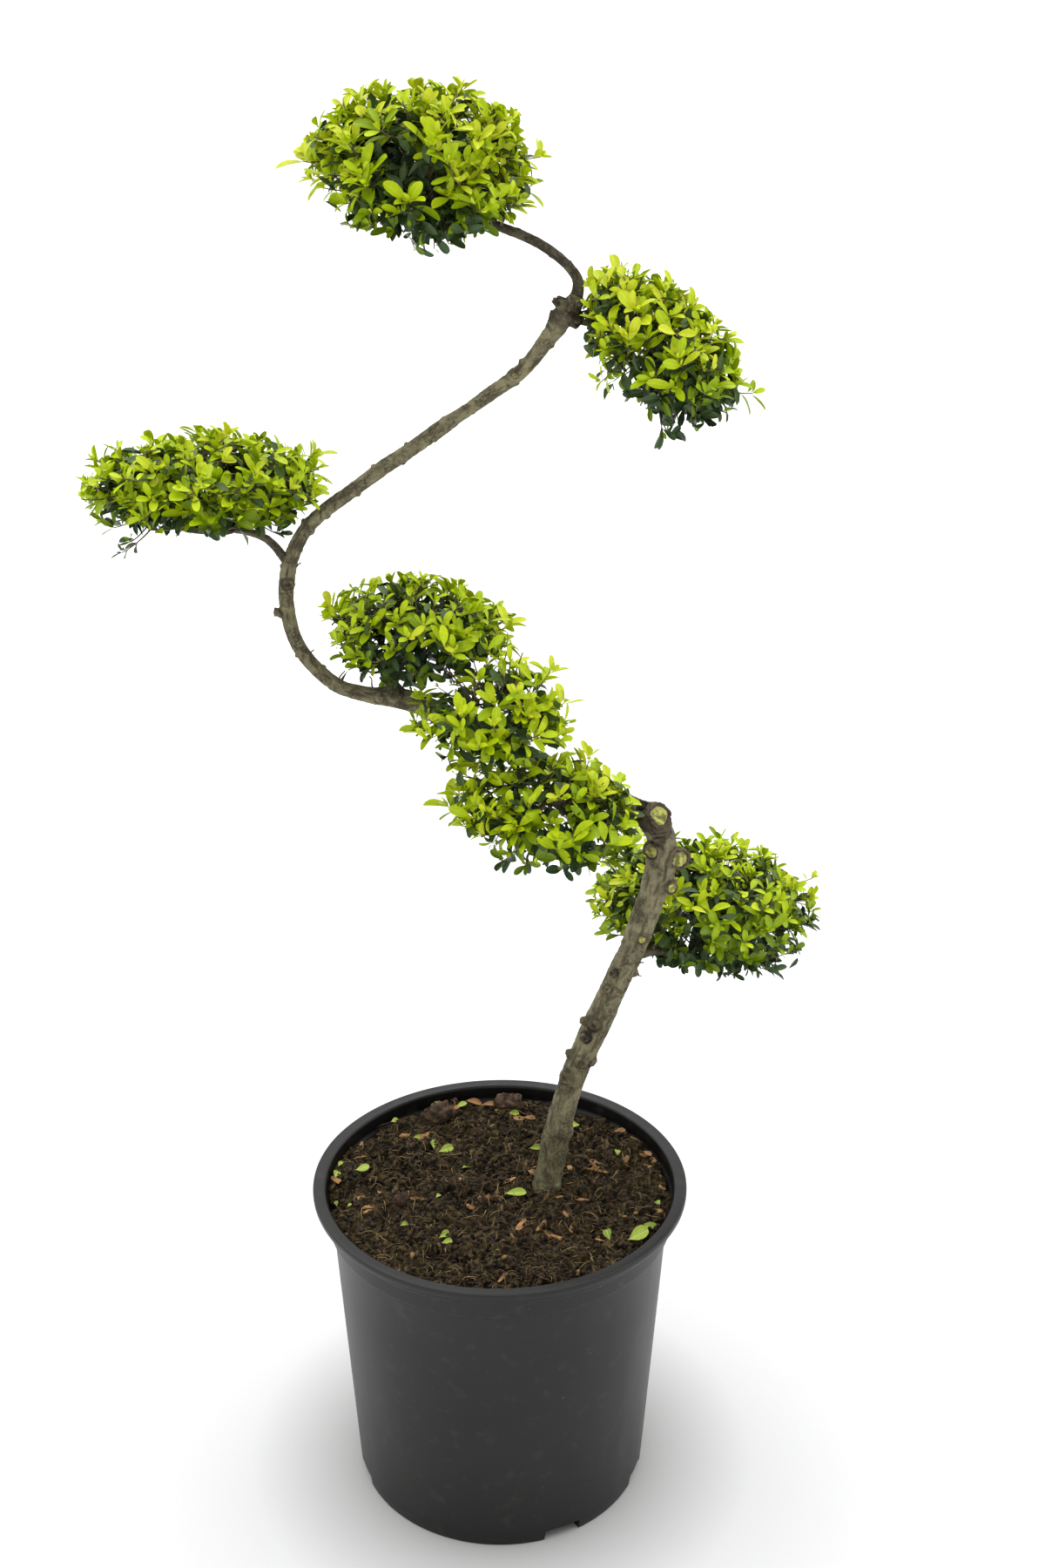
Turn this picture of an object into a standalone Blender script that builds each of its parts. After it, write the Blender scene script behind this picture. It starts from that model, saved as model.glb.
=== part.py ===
# Potted Japanese holly, cloud pruned: a nursery pot and its soil, a bent trunk in four limbs,
# five boughs and seven clouds of foliage. Metres, +Z up. The origin is the centre of the pot's
# underside, and the front of the plant faces -Y.

import math

import bmesh
import bpy
import numpy as np

# Clearance between neighbouring solids
GAP = 0.0003
HALF_GAP = GAP / 2

# How meshes are drawn: the angle past which an edge stays sharp, the distance within which the
# ends of a spun outline join, and the points to each span of a smooth line
SHARP_ANGLE = 40
SPIN_JOIN = 1e-5
SPAN_POINTS = 24

# Pot
POT_HEIGHT = 0.340
RIM_RADIUS = 0.190
RIM_WIDTH = 0.013
LIP_DEPTH = 0.0085
LIP_ROUND = 0.0015
BASE_RADIUS = 0.151
BASE_ROUND = 0.004
WALL = 0.003
WALL_TOP_RADIUS = 0.1707
LEDGES = ((0.300, 0.1757), (0.320, 0.180))
LEDGE_RISE = 0.0015
FLOOR = 0.005
FOOT_RING_HEIGHT = 0.019
FOOT_RING_WIDTH = 0.022
POT_SEGMENTS = 44

# Drain notches in the foot ring
NOTCH_ANGLES = (19, 115, 161, 199, 295, 341)
NOTCH_WIDTH = 0.038
NOTCH_HEIGHT = 0.012
NOTCH_DEPTH = 0.016

# Soil
SOIL_TOP = 0.3285
SOIL_FLAT_RADIUS = 0.110
SOIL_EDGE_DROP = 0.002

# Trunk: centre line from the soil to the last burl, each row x, y, z and radius, with the row
# numbers where one limb ends and the next begins
TRUNK_LINE = (
    (0.0484, 0.0083, SOIL_TOP + GAP, 0.0160),
    (0.0510, 0.0100, 0.346, 0.0145),
    (0.0720, 0.0115, 0.448, 0.0126),
    (0.1300, 0.0050, 0.605, 0.0124),
    (0.1545, -0.0020, 0.698, 0.0140),
    (0.1455, -0.0030, 0.738, 0.0140),
    (0.1200, -0.0010, 0.7555, 0.0116),
    (0.0466, 0.0120, 0.788, 0.0098),
    (-0.0329, 0.0230, 0.828, 0.0084),
    (-0.0920, 0.0290, 0.849, 0.0098),
    (-0.1190, 0.0310, 0.8512, 0.0070),
    (-0.1500, 0.0320, 0.8615, 0.0068),
    (-0.1785, 0.0310, 0.891, 0.0068),
    (-0.1909, 0.0285, 0.929, 0.0068),
    (-0.1890, 0.0260, 0.972, 0.0068),
    (-0.1700, 0.0220, 1.013, 0.0066),
    (-0.1310, 0.0170, 1.048, 0.0066),
    (-0.0527, 0.0100, 1.1045, 0.0064),
    (0.0155, 0.0040, 1.153, 0.0063),
    (0.0451, 0.0000, 1.1846, 0.0074),
    (0.0680, -0.0020, 1.2180, 0.0080),
)
TRUNK_LIMBS = {
    "trunk_lower": (0, 6),
    "trunk_middle": (6, 10),
    "trunk_bend": (10, 14),
    "trunk_upper": (14, 20),
}
TRUNK_SIDES = 12
LIMB_STEP = 0.026

# Stubs and knots on the trunk: limb, centre of the face, way it points, radius of the face
STUBS = {
    "leader": ("trunk_lower", (0.150, -0.018, 0.744), (0.20, -0.80, 0.55), 0.0100),
    "right": ("trunk_lower", (0.170, -0.012, 0.695), (0.62, -0.75, 0.10), 0.0086),
    "left": ("trunk_lower", (0.143, -0.017, 0.705), (-0.50, -0.85, 0.10), 0.0062),
    "below": ("trunk_lower", (0.164, -0.010, 0.666), (0.60, -0.80, 0.00), 0.0048),
    "scar": ("trunk_lower", (0.137, -0.010, 0.611), (0.15, -1.00, 0.00), 0.0046),
    "fork": ("trunk_bend", (-0.202, 0.024, 0.934), (-0.95, -0.25, 0.15), 0.0038),
}
STUB_LENGTH = 0.014
STUB_SIDES = 8
STUB_SWELL = 1.25
KNOTS = {
    "foot": ("trunk_lower", (0.0640, 0.0040, 0.395), 0.0070),
    "ridge": ("trunk_lower", (0.0950, 0.0050, 0.478), 0.0080),
    "collar": ("trunk_lower", (0.1130, 0.0010, 0.532), 0.0070),
    "shoulder": ("trunk_lower", (0.1520, 0.0060, 0.668), 0.0110),
    "burl_low": ("trunk_upper", (0.0540, -0.0050, 1.199), 0.0085),
    "burl_high": ("trunk_upper", (0.0610, 0.0040, 1.204), 0.0085),
}

# Boughs: the trunk limb that carries each one, then its centre line with radii
BOUGHS = {
    "bough_top": (
        None,
        (
            (0.0680, -0.0020, 1.2180, 0.0056),
            (0.0718, 0.0000, 1.2340, 0.0046),
            (0.0565, 0.0040, 1.2516, 0.0042),
            (0.0303, 0.0100, 1.2664, 0.0040),
            (-0.0061, 0.0150, 1.2777, 0.0038),
        ),
    ),
    "bough_right": (
        "trunk_upper",
        (
            (0.0540, 0.0000, 1.194, 0.0030),
            (0.0700, -0.0030, 1.199, 0.0026),
            (0.0900, -0.0060, 1.194, 0.0023),
        ),
    ),
    "bough_left": (
        "trunk_upper",
        (
            (-0.1870, 0.0260, 0.978, 0.0042),
            (-0.2050, 0.0200, 1.003, 0.0036),
            (-0.2300, 0.0140, 1.014, 0.0032),
            (-0.2420, 0.0120, 1.013, 0.0030),
        ),
    ),
    "bough_middle": (
        "trunk_middle",
        (
            (-0.0870, 0.0290, 0.848, 0.0058),
            (-0.0990, 0.0285, 0.864, 0.0052),
            (-0.1040, 0.0280, 0.876, 0.0048),
        ),
    ),
    "bough_low": (
        "trunk_lower",
        (
            (0.1280, 0.0060, 0.591, 0.0046),
            (0.1550, 0.0220, 0.588, 0.0043),
            (0.1830, 0.0450, 0.574, 0.0039),
        ),
    ),
}
BOUGH_SIDES = 8
BOUGH_STEP = 0.013
KNOT_NEAR = 0.020

# Clouds of foliage. Each keeps to its own space, an egg of half widths across, deep, above and
# below its centre, turned about Y by tilt degrees. The stem runs from its carrier through the
# points of its line: the carrier is a bough, or a row number of the trunk's line.
CLOUDS = {
    "cloud_top": {
        "carrier": "bough_top",
        "centre": (-0.061, 0.015, 1.325),
        "half": (0.116, 0.100, 0.078, 0.072),
        "tilt": 4,
        "stem": ((-0.036, 0.015, 1.290), (-0.060, 0.015, 1.312)),
        "shoots": 13,
        "leaves": 62,
    },
    "cloud_right": {
        "carrier": "bough_right",
        "centre": (0.140, -0.005, 1.174),
        "half": (0.100, 0.076, 0.064, 0.066),
        "tilt": 44,
        "stem": ((0.116, -0.006, 1.186), (0.148, -0.005, 1.166)),
        "shoots": 11,
        "leaves": 54,
    },
    "cloud_left": {
        "carrier": "bough_left",
        "centre": (-0.251, 0.005, 1.053),
        "half": (0.126, 0.094, 0.060, 0.050),
        "tilt": 0,
        "stem": ((-0.272, 0.007, 1.016), (-0.303, 0.003, 1.028)),
        "shoots": 13,
        "leaves": 60,
    },
    "cloud_middle": {
        "carrier": "bough_middle",
        "centre": (-0.071, 0.026, 0.915),
        "half": (0.098, 0.082, 0.058, 0.056),
        "tilt": 4,
        "stem": ((-0.100, 0.027, 0.890), (-0.080, 0.026, 0.910)),
        "shoots": 11,
        "leaves": 54,
    },
    "cloud_slope_upper": {
        "carrier": 8,
        "centre": (-0.010, -0.030, 0.851),
        "half": (0.086, 0.062, 0.064, 0.060),
        "tilt": 14,
        "stem": ((-0.018, -0.026, 0.848),),
        "shoots": 9,
        "leaves": 46,
    },
    "cloud_slope_lower": {
        "carrier": 7,
        "centre": (0.047, -0.036, 0.763),
        "half": (0.106, 0.062, 0.064, 0.062),
        "tilt": 16,
        "stem": ((0.044, -0.032, 0.768),),
        "shoots": 10,
        "leaves": 50,
    },
    "cloud_low": {
        "carrier": "bough_low",
        "centre": (0.202, 0.090, 0.602),
        "half": (0.136, 0.104, 0.078, 0.072),
        "tilt": 9,
        "stem": ((0.203, 0.068, 0.572), (0.212, 0.086, 0.594)),
        "shoots": 13,
        "leaves": 64,
    },
}
CORE_SHARE = 0.78
CORE_LUMPS = 0.08
STEM_RADII = (0.0030, 0.0020)
TRUNK_STEM_RADIUS = 0.0022
STEM_LEAD = 0.006
STEM_SIDES = 6
SHOOT_RADII = (0.0017, 0.0011)
SHOOT_SIDES = 3
SHOOT_REACH = (0.74, 0.88)
SHOOT_LIFT = 0.10
SHOOT_JITTER = 0.22

# Leaves, larger than life because they stand for more
LEAF_LENGTH = 0.034
LEAF_WIDTH = 0.0170
LEAF_THICKNESS = 0.0014
LEAF_WIDEST = 0.56
LEAF_UPTURN = 0.8
LEAF_ROLL = 0.25
LEAF_SPREAD = (0.55, 1.05)
END_LEAF_SPREAD = 0.15
CORE_LEAF_SPREAD = (0.25, 0.80)
LEAF_SPACING = 0.0145
LEAF_SIZES = (1.0, 0.85, 0.7)
LEAF_TRIES = 12
ROOT_SHARE = 0.84
SHOOT_LEAVES = 3
SHOOT_LEAF_STEP = 0.0085

# Room that foliage leaves round limbs and towards the next cloud
LIMB_ROOM = 0.0040
CORE_ROOM = 0.003
CORE_NEAR = 0.030
CORE_PULL = 0.93
CORE_PULLS = 20
CLOUD_ROOM = 0.03
GOLDEN = math.pi * (3 - math.sqrt(5))
FIRST_SEED = 100

# Finishes: colour, roughness
POT_PLASTIC = ((0.045, 0.044, 0.045), 0.55)
PEAT = ((0.055, 0.032, 0.020), 0.95)
OLD_BARK = ((0.190, 0.170, 0.120), 0.85)
YOUNG_BARK = ((0.110, 0.085, 0.065), 0.80)
FOLIAGE = ((0.250, 0.440, 0.020), 0.45)


# Scene and objects
def clear_scene():
    for old in list(bpy.data.objects):
        bpy.data.objects.remove(old, do_unlink=True)


def finish_material(name, finish):
    colour, roughness = finish
    made = bpy.data.materials.new(name)
    made.use_nodes = True
    shader = made.node_tree.nodes["Principled BSDF"]
    shader.inputs["Base Color"].default_value = (*colour, 1.0)
    shader.inputs["Roughness"].default_value = roughness
    shader.inputs["Metallic"].default_value = 0.0
    return made


def add_object(name, shape, finish=None, collection=None, smooth=True):
    """The bmesh as a named object, with its normals pointing out."""
    bmesh.ops.recalc_face_normals(shape, faces=shape.faces)
    mesh = bpy.data.meshes.new(name)
    shape.to_mesh(mesh)
    shape.free()
    if smooth:
        mesh.shade_smooth()
        mesh.set_sharp_from_angle(angle=math.radians(SHARP_ANGLE))
    if finish:
        mesh.materials.append(finish_material(f"{name}_finish", finish))
    made = bpy.data.objects.new(name, mesh)
    (collection or bpy.context.scene.collection).objects.link(made)
    return made


def hide_as_cutter(cutter):
    cutter.hide_render = True
    cutter.display_type = "WIRE"


def boolean(target, operation, cutter=None, collection=None, solver="EXACT"):
    cut = target.modifiers.new(operation.title(), "BOOLEAN")
    cut.operation = operation
    cut.solver = solver
    if collection:
        cut.operand_type = "COLLECTION"
        cut.collection = collection
    else:
        cut.object = cutter
    return cut


def join_pieces(target, collection, solver):
    """Unites the collection's objects with the target for good, then removes them."""
    boolean(target, "UNION", collection=collection, solver=solver)
    bpy.context.view_layer.update()
    graph = bpy.context.evaluated_depsgraph_get()
    joined = bpy.data.meshes.new_from_object(target.evaluated_get(graph))
    target.modifiers.clear()
    target.data = joined
    for piece in list(collection.objects):
        bpy.data.objects.remove(piece, do_unlink=True)
    bpy.data.collections.remove(collection)
    keep_outer_body(joined)


def keep_outer_body(mesh):
    """Fills a sealed hollow and drops a loose scrap: only the widest shell of faces stays."""
    shape = bmesh.new()
    shape.from_mesh(mesh)
    unseen = set(shape.verts)
    shells = []
    while unseen:
        start = unseen.pop()
        shell = {start}
        edge_of_shell = [start]
        while edge_of_shell:
            for edge in edge_of_shell.pop().link_edges:
                for vert in edge.verts:
                    if vert in unseen:
                        unseen.discard(vert)
                        shell.add(vert)
                        edge_of_shell.append(vert)
        places = np.array([vert.co for vert in shell])
        shells.append((np.ptp(places, axis=0).sum(), shell))
    shells.sort(key=lambda found: found[0])
    for _, shell in shells[:-1]:
        bmesh.ops.delete(shape, geom=list(shell), context="VERTS")
    shape.to_mesh(mesh)
    shape.free()


# Turned pieces
def turned(outline, segments):
    """The open outline of (radius, height) points, from axis to axis, spun about Z."""
    shape = bmesh.new()
    verts = [shape.verts.new((radius, 0, height)) for radius, height in outline]
    edges = [shape.edges.new(pair) for pair in zip(verts, verts[1:])]
    bmesh.ops.spin(
        shape,
        geom=verts + edges,
        cent=(0, 0, 0),
        axis=(0, 0, 1),
        angle=math.tau,
        steps=segments,
        use_duplicate=False,
    )
    bmesh.ops.remove_doubles(shape, verts=shape.verts, dist=SPIN_JOIN)
    return shape


def pot_outer():
    """Underside, foot, tapering wall, the two ledges of the collar and the rolled lip."""
    points = [(0, 0), (BASE_RADIUS - BASE_ROUND, 0), (BASE_RADIUS, BASE_ROUND)]
    radius = WALL_TOP_RADIUS
    for height, wider in LEDGES:
        points.append((radius, height - LEDGE_RISE))
        points.append((wider, height + LEDGE_RISE / 2))
        radius = wider + LEDGE_RISE / 4
    under_lip = POT_HEIGHT - LIP_DEPTH
    points += [
        (radius, under_lip),
        (RIM_RADIUS - LIP_ROUND, under_lip),
        (RIM_RADIUS, under_lip + LIP_ROUND),
        (RIM_RADIUS, POT_HEIGHT - LIP_ROUND),
        (RIM_RADIUS - LIP_ROUND, POT_HEIGHT),
    ]
    return points


def pot_inner(inset=0.0):
    """Inside of the wall from just under the lip to the floor, set in by the inset."""
    low, high = LEDGES[0][0], LEDGES[1][0]
    foot = BASE_RADIUS - WALL
    return [
        (RIM_RADIUS - RIM_WIDTH - inset, high - LEDGE_RISE),
        (WALL_TOP_RADIUS - WALL - inset, low - 2 * LEDGE_RISE),
        (foot - inset, FOOT_RING_HEIGHT + inset),
        (foot - FOOT_RING_WIDTH + WALL - inset, FOOT_RING_HEIGHT + inset),
        (foot - FOOT_RING_WIDTH - inset, FLOOR + inset),
        (0, FLOOR + inset),
    ]


def make_pot():
    inner_lip = RIM_RADIUS - RIM_WIDTH
    lip = [(inner_lip + LIP_ROUND, POT_HEIGHT), (inner_lip, POT_HEIGHT - LIP_ROUND)]
    pot = add_object("pot", turned(pot_outer() + lip + pot_inner(), POT_SEGMENTS), POT_PLASTIC)
    for number, angle in enumerate(NOTCH_ANGLES, 1):
        turn = math.radians(angle)
        reach = BASE_RADIUS - NOTCH_DEPTH / 2 + BASE_ROUND
        shape = bmesh.new()
        bmesh.ops.create_cube(shape, size=1.0)
        size = (NOTCH_DEPTH + 2 * BASE_ROUND, NOTCH_WIDTH, 2 * NOTCH_HEIGHT)
        bmesh.ops.scale(shape, vec=size, verts=shape.verts)
        cutter = add_object(f"notch_cutter_{number}", shape, smooth=False)
        cutter.location = (reach * math.cos(turn), reach * math.sin(turn), 0)
        cutter.rotation_euler = (0, 0, turn)
        hide_as_cutter(cutter)
        boolean(pot, "DIFFERENCE", cutter)
    return pot


def make_soil():
    edge, *rest = pot_inner(GAP)
    top = [
        (0, SOIL_TOP),
        (SOIL_FLAT_RADIUS, SOIL_TOP),
        (edge[0] - WALL, SOIL_TOP - SOIL_EDGE_DROP),
        (edge[0] - WALL / 2, edge[1] - WALL),
    ]
    return add_object("soil", turned(top + rest, POT_SEGMENTS), PEAT)


# Limbs
def smooth_line(rows):
    """A Catmull-Rom curve through the rows, as points a fixed number to each span."""
    rows = np.array(rows, float)
    padded = np.vstack([2 * rows[0] - rows[1], rows, 2 * rows[-1] - rows[-2]])
    t = np.linspace(0, 1, SPAN_POINTS, endpoint=False)[:, None]
    spans = []
    for before, here, after, beyond in zip(padded, padded[1:], padded[2:], padded[3:]):
        spans.append(
            0.5
            * (
                2 * here
                + (after - before) * t
                + (2 * before - 5 * here + 4 * after - beyond) * t**2
                + (3 * here - before - 3 * after + beyond) * t**3
            )
        )
    return np.vstack(spans + [rows[-1:]])


def unit(vectors):
    return vectors / np.linalg.norm(vectors, axis=-1, keepdims=True)


def stations(line, step):
    """Points, directions and radii at even steps along a smooth line."""
    places, radii = line[:, :3], line[:, 3]
    ways = unit(np.gradient(places, axis=0))
    along = np.concatenate([[0], np.cumsum(np.linalg.norm(np.diff(places, axis=0), axis=1))])
    count = max(3, round(along[-1] / step) + 1)
    at = np.linspace(0, along[-1], count)
    spots = np.column_stack([np.interp(at, along, column) for column in places.T])
    headings = unit(np.column_stack([np.interp(at, along, column) for column in ways.T]))
    return spots, headings, np.interp(at, along, radii)


def tube(spots, headings, radii, sides):
    """A tapering tube with flat ends: one ring of points across the heading at each spot."""
    across = np.array((0.0, 1.0, 0.0))
    angles = np.arange(sides) * math.tau / sides
    shape = bmesh.new()
    rings = []
    for spot, heading, radius in zip(spots, headings, radii):
        across = unit(across - heading * (across @ heading))
        up = np.cross(heading, across)
        ring = spot + radius * (np.outer(np.cos(angles), across) + np.outer(np.sin(angles), up))
        rings.append([shape.verts.new(point) for point in ring])
    for ring, following in zip(rings, rings[1:]):
        for side in range(sides):
            after = (side + 1) % sides
            shape.faces.new((ring[side], ring[after], following[after], following[side]))
    shape.faces.new(rings[0])
    shape.faces.new(rings[-1])
    return shape


def trunk_stations(first, last):
    """A stretch of the trunk between two rows, with half a gap taken off where limbs meet."""
    line = smooth_line(TRUNK_LINE)
    places, ways = line[:, :3], unit(np.gradient(line[:, :3], axis=0))
    begin, end = first * SPAN_POINTS, last * SPAN_POINTS
    spots, headings, radii = stations(line[begin : end + 1], LIMB_STEP)
    headings[0], headings[-1] = ways[begin], ways[end]
    if first == 0:
        headings[0] = (0, 0, 1)
    else:
        spots[0] = places[begin] + HALF_GAP * ways[begin]
    spots[-1] = places[end] - HALF_GAP * ways[end]
    return spots, headings, radii


def stub_shape(face, way, radius):
    way = unit(np.array(way, float))
    ends = np.array([np.array(face) - STUB_LENGTH * way, np.array(face)])
    return tube(ends, np.array([way, way]), (radius * STUB_SWELL, radius), STUB_SIDES)


def knot_shape(centre, radius):
    shape = bmesh.new()
    bmesh.ops.create_icosphere(shape, subdivisions=2, radius=radius)
    bmesh.ops.translate(shape, vec=centre, verts=shape.verts)
    return shape


def make_trunk():
    limbs = {}
    for name, (first, last) in TRUNK_LIMBS.items():
        spots, headings, radii = trunk_stations(first, last)
        limb = add_object(name, tube(spots, headings, radii, TRUNK_SIDES), OLD_BARK)
        growths = bpy.data.collections.new(f"{name}_growths")
        bpy.context.scene.collection.children.link(growths)
        for label, (host, face, way, radius) in STUBS.items():
            if host == name:
                add_object(f"stub_{label}", stub_shape(face, way, radius), None, growths)
        for label, (host, centre, radius) in KNOTS.items():
            if host == name:
                add_object(f"knot_{label}", knot_shape(centre, radius), None, growths)
        if growths.objects:
            join_pieces(limb, growths, "EXACT")
        limbs[name] = (spots, headings, radii)
    return limbs


def make_boughs(limbs):
    """Each bough starts inside its carrier and is cut off a gap away from the carrier's bark."""
    boughs = {}
    for name, (carrier, rows) in BOUGHS.items():
        spots, headings, radii = stations(smooth_line(rows), BOUGH_STEP)
        if carrier is None:
            trunk_way = limbs["trunk_upper"][1][-1]
            headings[0] = trunk_way
            spots[0] = spots[0] + HALF_GAP * trunk_way
        bough = add_object(name, tube(spots, headings, radii, BOUGH_SIDES), YOUNG_BARK)
        if carrier:
            host_spots, host_ways, host_radii = limbs[carrier]
            shape = tube(host_spots, host_ways, host_radii + GAP, TRUNK_SIDES)
            shapes = {"limb": shape}
            for label, (host, centre, radius) in KNOTS.items():
                if host == carrier and math.dist(centre, rows[0][:3]) < KNOT_NEAR:
                    shapes[label] = knot_shape(centre, radius + 2 * GAP)
            for label, shape in shapes.items():
                cutter = add_object(f"{name}_cutter_{label}", shape)
                hide_as_cutter(cutter)
                boolean(bough, "DIFFERENCE", cutter)
        boughs[name] = (spots, headings, radii)
    return boughs


# Space of the clouds
def turn_about_y(degrees):
    angle = math.radians(degrees)
    cos, sin = math.cos(angle), math.sin(angle)
    return np.array(((cos, 0, sin), (0, 1, 0), (-sin, 0, cos)))


def depth_in(cloud, points):
    """0 at the cloud's centre, 1 on the skin of its space, for each point."""
    across, deep, above, below = cloud["half"]
    local = (np.atleast_2d(points) - cloud["centre"]) @ turn_about_y(cloud["tilt"])
    high = np.where(local[:, 2] > 0, above, below)
    return np.sqrt((local[:, 0] / across) ** 2 + (local[:, 1] / deep) ** 2 + (local[:, 2] / high) ** 2)


def on_skin(cloud, ways, share):
    """Points at a share of the way from the cloud's centre to its skin, along unit ways."""
    across, deep, above, below = cloud["half"]
    high = np.where(ways[:, 2] > 0, above, below)
    local = np.column_stack([ways[:, 0] * across, ways[:, 1] * deep, ways[:, 2] * high])
    return np.array(cloud["centre"]) + (local * share) @ turn_about_y(cloud["tilt"]).T


def room_to_limbs(points, limbs):
    """Distance from each point to the nearest bark."""
    nearest = np.full(len(points), np.inf)
    for spots, _, radii in limbs.values():
        starts, runs = spots[:-1], np.diff(spots, axis=0)
        offset = points[:, None] - starts[None]
        share = np.clip((offset * runs).sum(2) / (runs**2).sum(1), 0, 1)
        gaps = np.linalg.norm(offset - share[..., None] * runs, axis=2)
        gaps -= radii[:-1] + share * np.diff(radii)
        nearest = np.minimum(nearest, gaps.min(axis=1))
    return nearest


def strayed(name, points):
    """Which of the points lie outside the cloud's skin or nearer to another cloud's heart."""
    own = depth_in(CLOUDS[name], points)
    others = [depth_in(cloud, points) for other, cloud in CLOUDS.items() if other != name]
    return (own > 1) | (own > np.min(others, axis=0) - CLOUD_ROOM)


def fits(name, points, limbs):
    """True where all the points keep to the cloud's own space and clear of every limb."""
    return not strayed(name, points).any() and room_to_limbs(points, limbs).min() > LIMB_ROOM


# Foliage
def leaf_points(root, way, face, size):
    """Root, two shoulders, tip and the thickest point above and below a leaf's middle."""
    side = np.cross(face, way)
    length, width = LEAF_LENGTH * size, LEAF_WIDTH * size
    middle = root + way * length * LEAF_WIDEST
    return np.array(
        [
            root,
            middle + side * width / 2,
            root + way * length,
            middle - side * width / 2,
            middle + face * LEAF_THICKNESS / 2,
            middle - face * LEAF_THICKNESS / 2,
        ]
    )


def leaf_shape(points):
    """Four faces above and four below, sharing the outline."""
    shape = bmesh.new()
    verts = [shape.verts.new(point) for point in points]
    outline = verts[:4]
    for here, after in zip(outline, outline[1:] + outline[:1]):
        shape.faces.new((here, after, verts[4]))
        shape.faces.new((after, here, verts[5]))
    return shape


def blade_samples(points):
    """Points spread over a leaf's blade, leaving out the root that is sunk in the twig."""
    root, left, tip, right = points[:4]
    middle = (left + right) / 2
    edges = [(root + left) / 2, (root + right) / 2, (left + tip) / 2, (right + tip) / 2]
    return np.array([left, right, tip, middle, (root + middle) / 2, (middle + tip) / 2, *edges])


def stem_stations(name, limbs, boughs):
    """The cloud's stem: from a gap past its bough's tip, or past the trunk's bark, to its heart."""
    cloud = CLOUDS[name]
    if isinstance(cloud["carrier"], str):
        spots, headings, _ = boughs[cloud["carrier"]]
        start, way = spots[-1] + GAP * headings[-1], headings[-1]
        first_radius = STEM_RADII[0]
    else:
        before, centre, after = np.array(TRUNK_LINE)[cloud["carrier"] - 1 : cloud["carrier"] + 2]
        axis = unit(after[:3] - before[:3])
        way = np.array(cloud["stem"][0]) - centre[:3]
        way = unit(way - axis * (axis @ way))
        start = centre[:3] + way * (centre[3] + 2 * GAP)
        first_radius = TRUNK_STEM_RADIUS
    rows = [start, start + way * STEM_LEAD, *map(np.array, cloud["stem"])]
    radii = np.linspace(first_radius, STEM_RADII[1], len(rows))
    line = smooth_line(np.column_stack([np.array(rows), radii]))
    spots, headings, radii = stations(line, BOUGH_STEP)
    headings[0] = way
    return spots, headings, radii


def shoot_line(start, target):
    """A shoot that leaves the stem low and bends up to its target."""
    length = np.linalg.norm(target - start)
    bend = (start + target) / 2 + np.array((0, 0, -SHOOT_LIFT * length))
    t = np.linspace(0, 1, 4)[:, None]
    return (1 - t) ** 2 * start + 2 * t * (1 - t) * bend + t**2 * target


def between(line, share):
    """The points of a line and those a share of the way from each to the next."""
    return np.vstack([line[:-1] + (line[1:] - line[:-1]) * share, line[1:]])


def golden_ways(count, rng):
    """Directions spread evenly over a sphere, each a golden angle on from the last."""
    number = np.arange(count) + 0.5
    height = 1 - 2 * number / count
    turn = GOLDEN * number + rng.uniform(0, math.tau)
    flat = np.sqrt(1 - height**2)
    return np.column_stack([flat * np.cos(turn), flat * np.sin(turn), height])


def grow_shoots(name, stem, limbs, rng):
    """Shoots from the stem to points spread evenly by the golden angle near the cloud's skin."""
    cloud = CLOUDS[name]
    ways = golden_ways(cloud["shoots"], rng)
    ways = unit(ways + rng.normal(0, SHOOT_JITTER, ways.shape))
    targets = on_skin(cloud, ways, rng.uniform(*SHOOT_REACH, (len(ways), 1)))
    shoots = []
    for target in targets:
        nearest = np.linalg.norm(stem - target, axis=1).argmin()
        line = shoot_line(stem[max(1, nearest - 1)], target)
        if fits(name, between(line, 0.5), limbs):
            shoots.append(line)
    return shoots


def turned_aside(way, spread, turn):
    """A direction that leaves the way by an angle, to the side that the turn gives."""
    side = unit(np.cross(way, (0.3, 0.2, 1.0)))
    other = np.cross(way, side)
    aside = side * math.cos(turn) + other * math.sin(turn)
    return unit(way * math.cos(spread) + aside * math.sin(spread))


class LeafPlacer:
    """Adds a leaf wherever it fits: in the cloud's space, off the limbs and not on another leaf."""

    def __init__(self, name, limbs, rng):
        self.name, self.limbs, self.rng = name, limbs, rng
        self.leaves, self.middles = [], []

    def add(self, root, pointing, outward):
        upward = outward + np.array((0, 0, LEAF_UPTURN)) + self.rng.normal(0, LEAF_ROLL, 3)
        face = unit(upward - pointing * (upward @ pointing))
        for size in LEAF_SIZES:
            points = leaf_points(root, pointing, face, size)
            samples = blade_samples(points)
            middle = samples[3]
            near = [gap for gap in self.middles if np.linalg.norm(gap - middle) < LEAF_SPACING]
            if not near and fits(self.name, samples, self.limbs):
                self.leaves.append(points)
                self.middles.append(middle)
                return True
        return False


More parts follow.
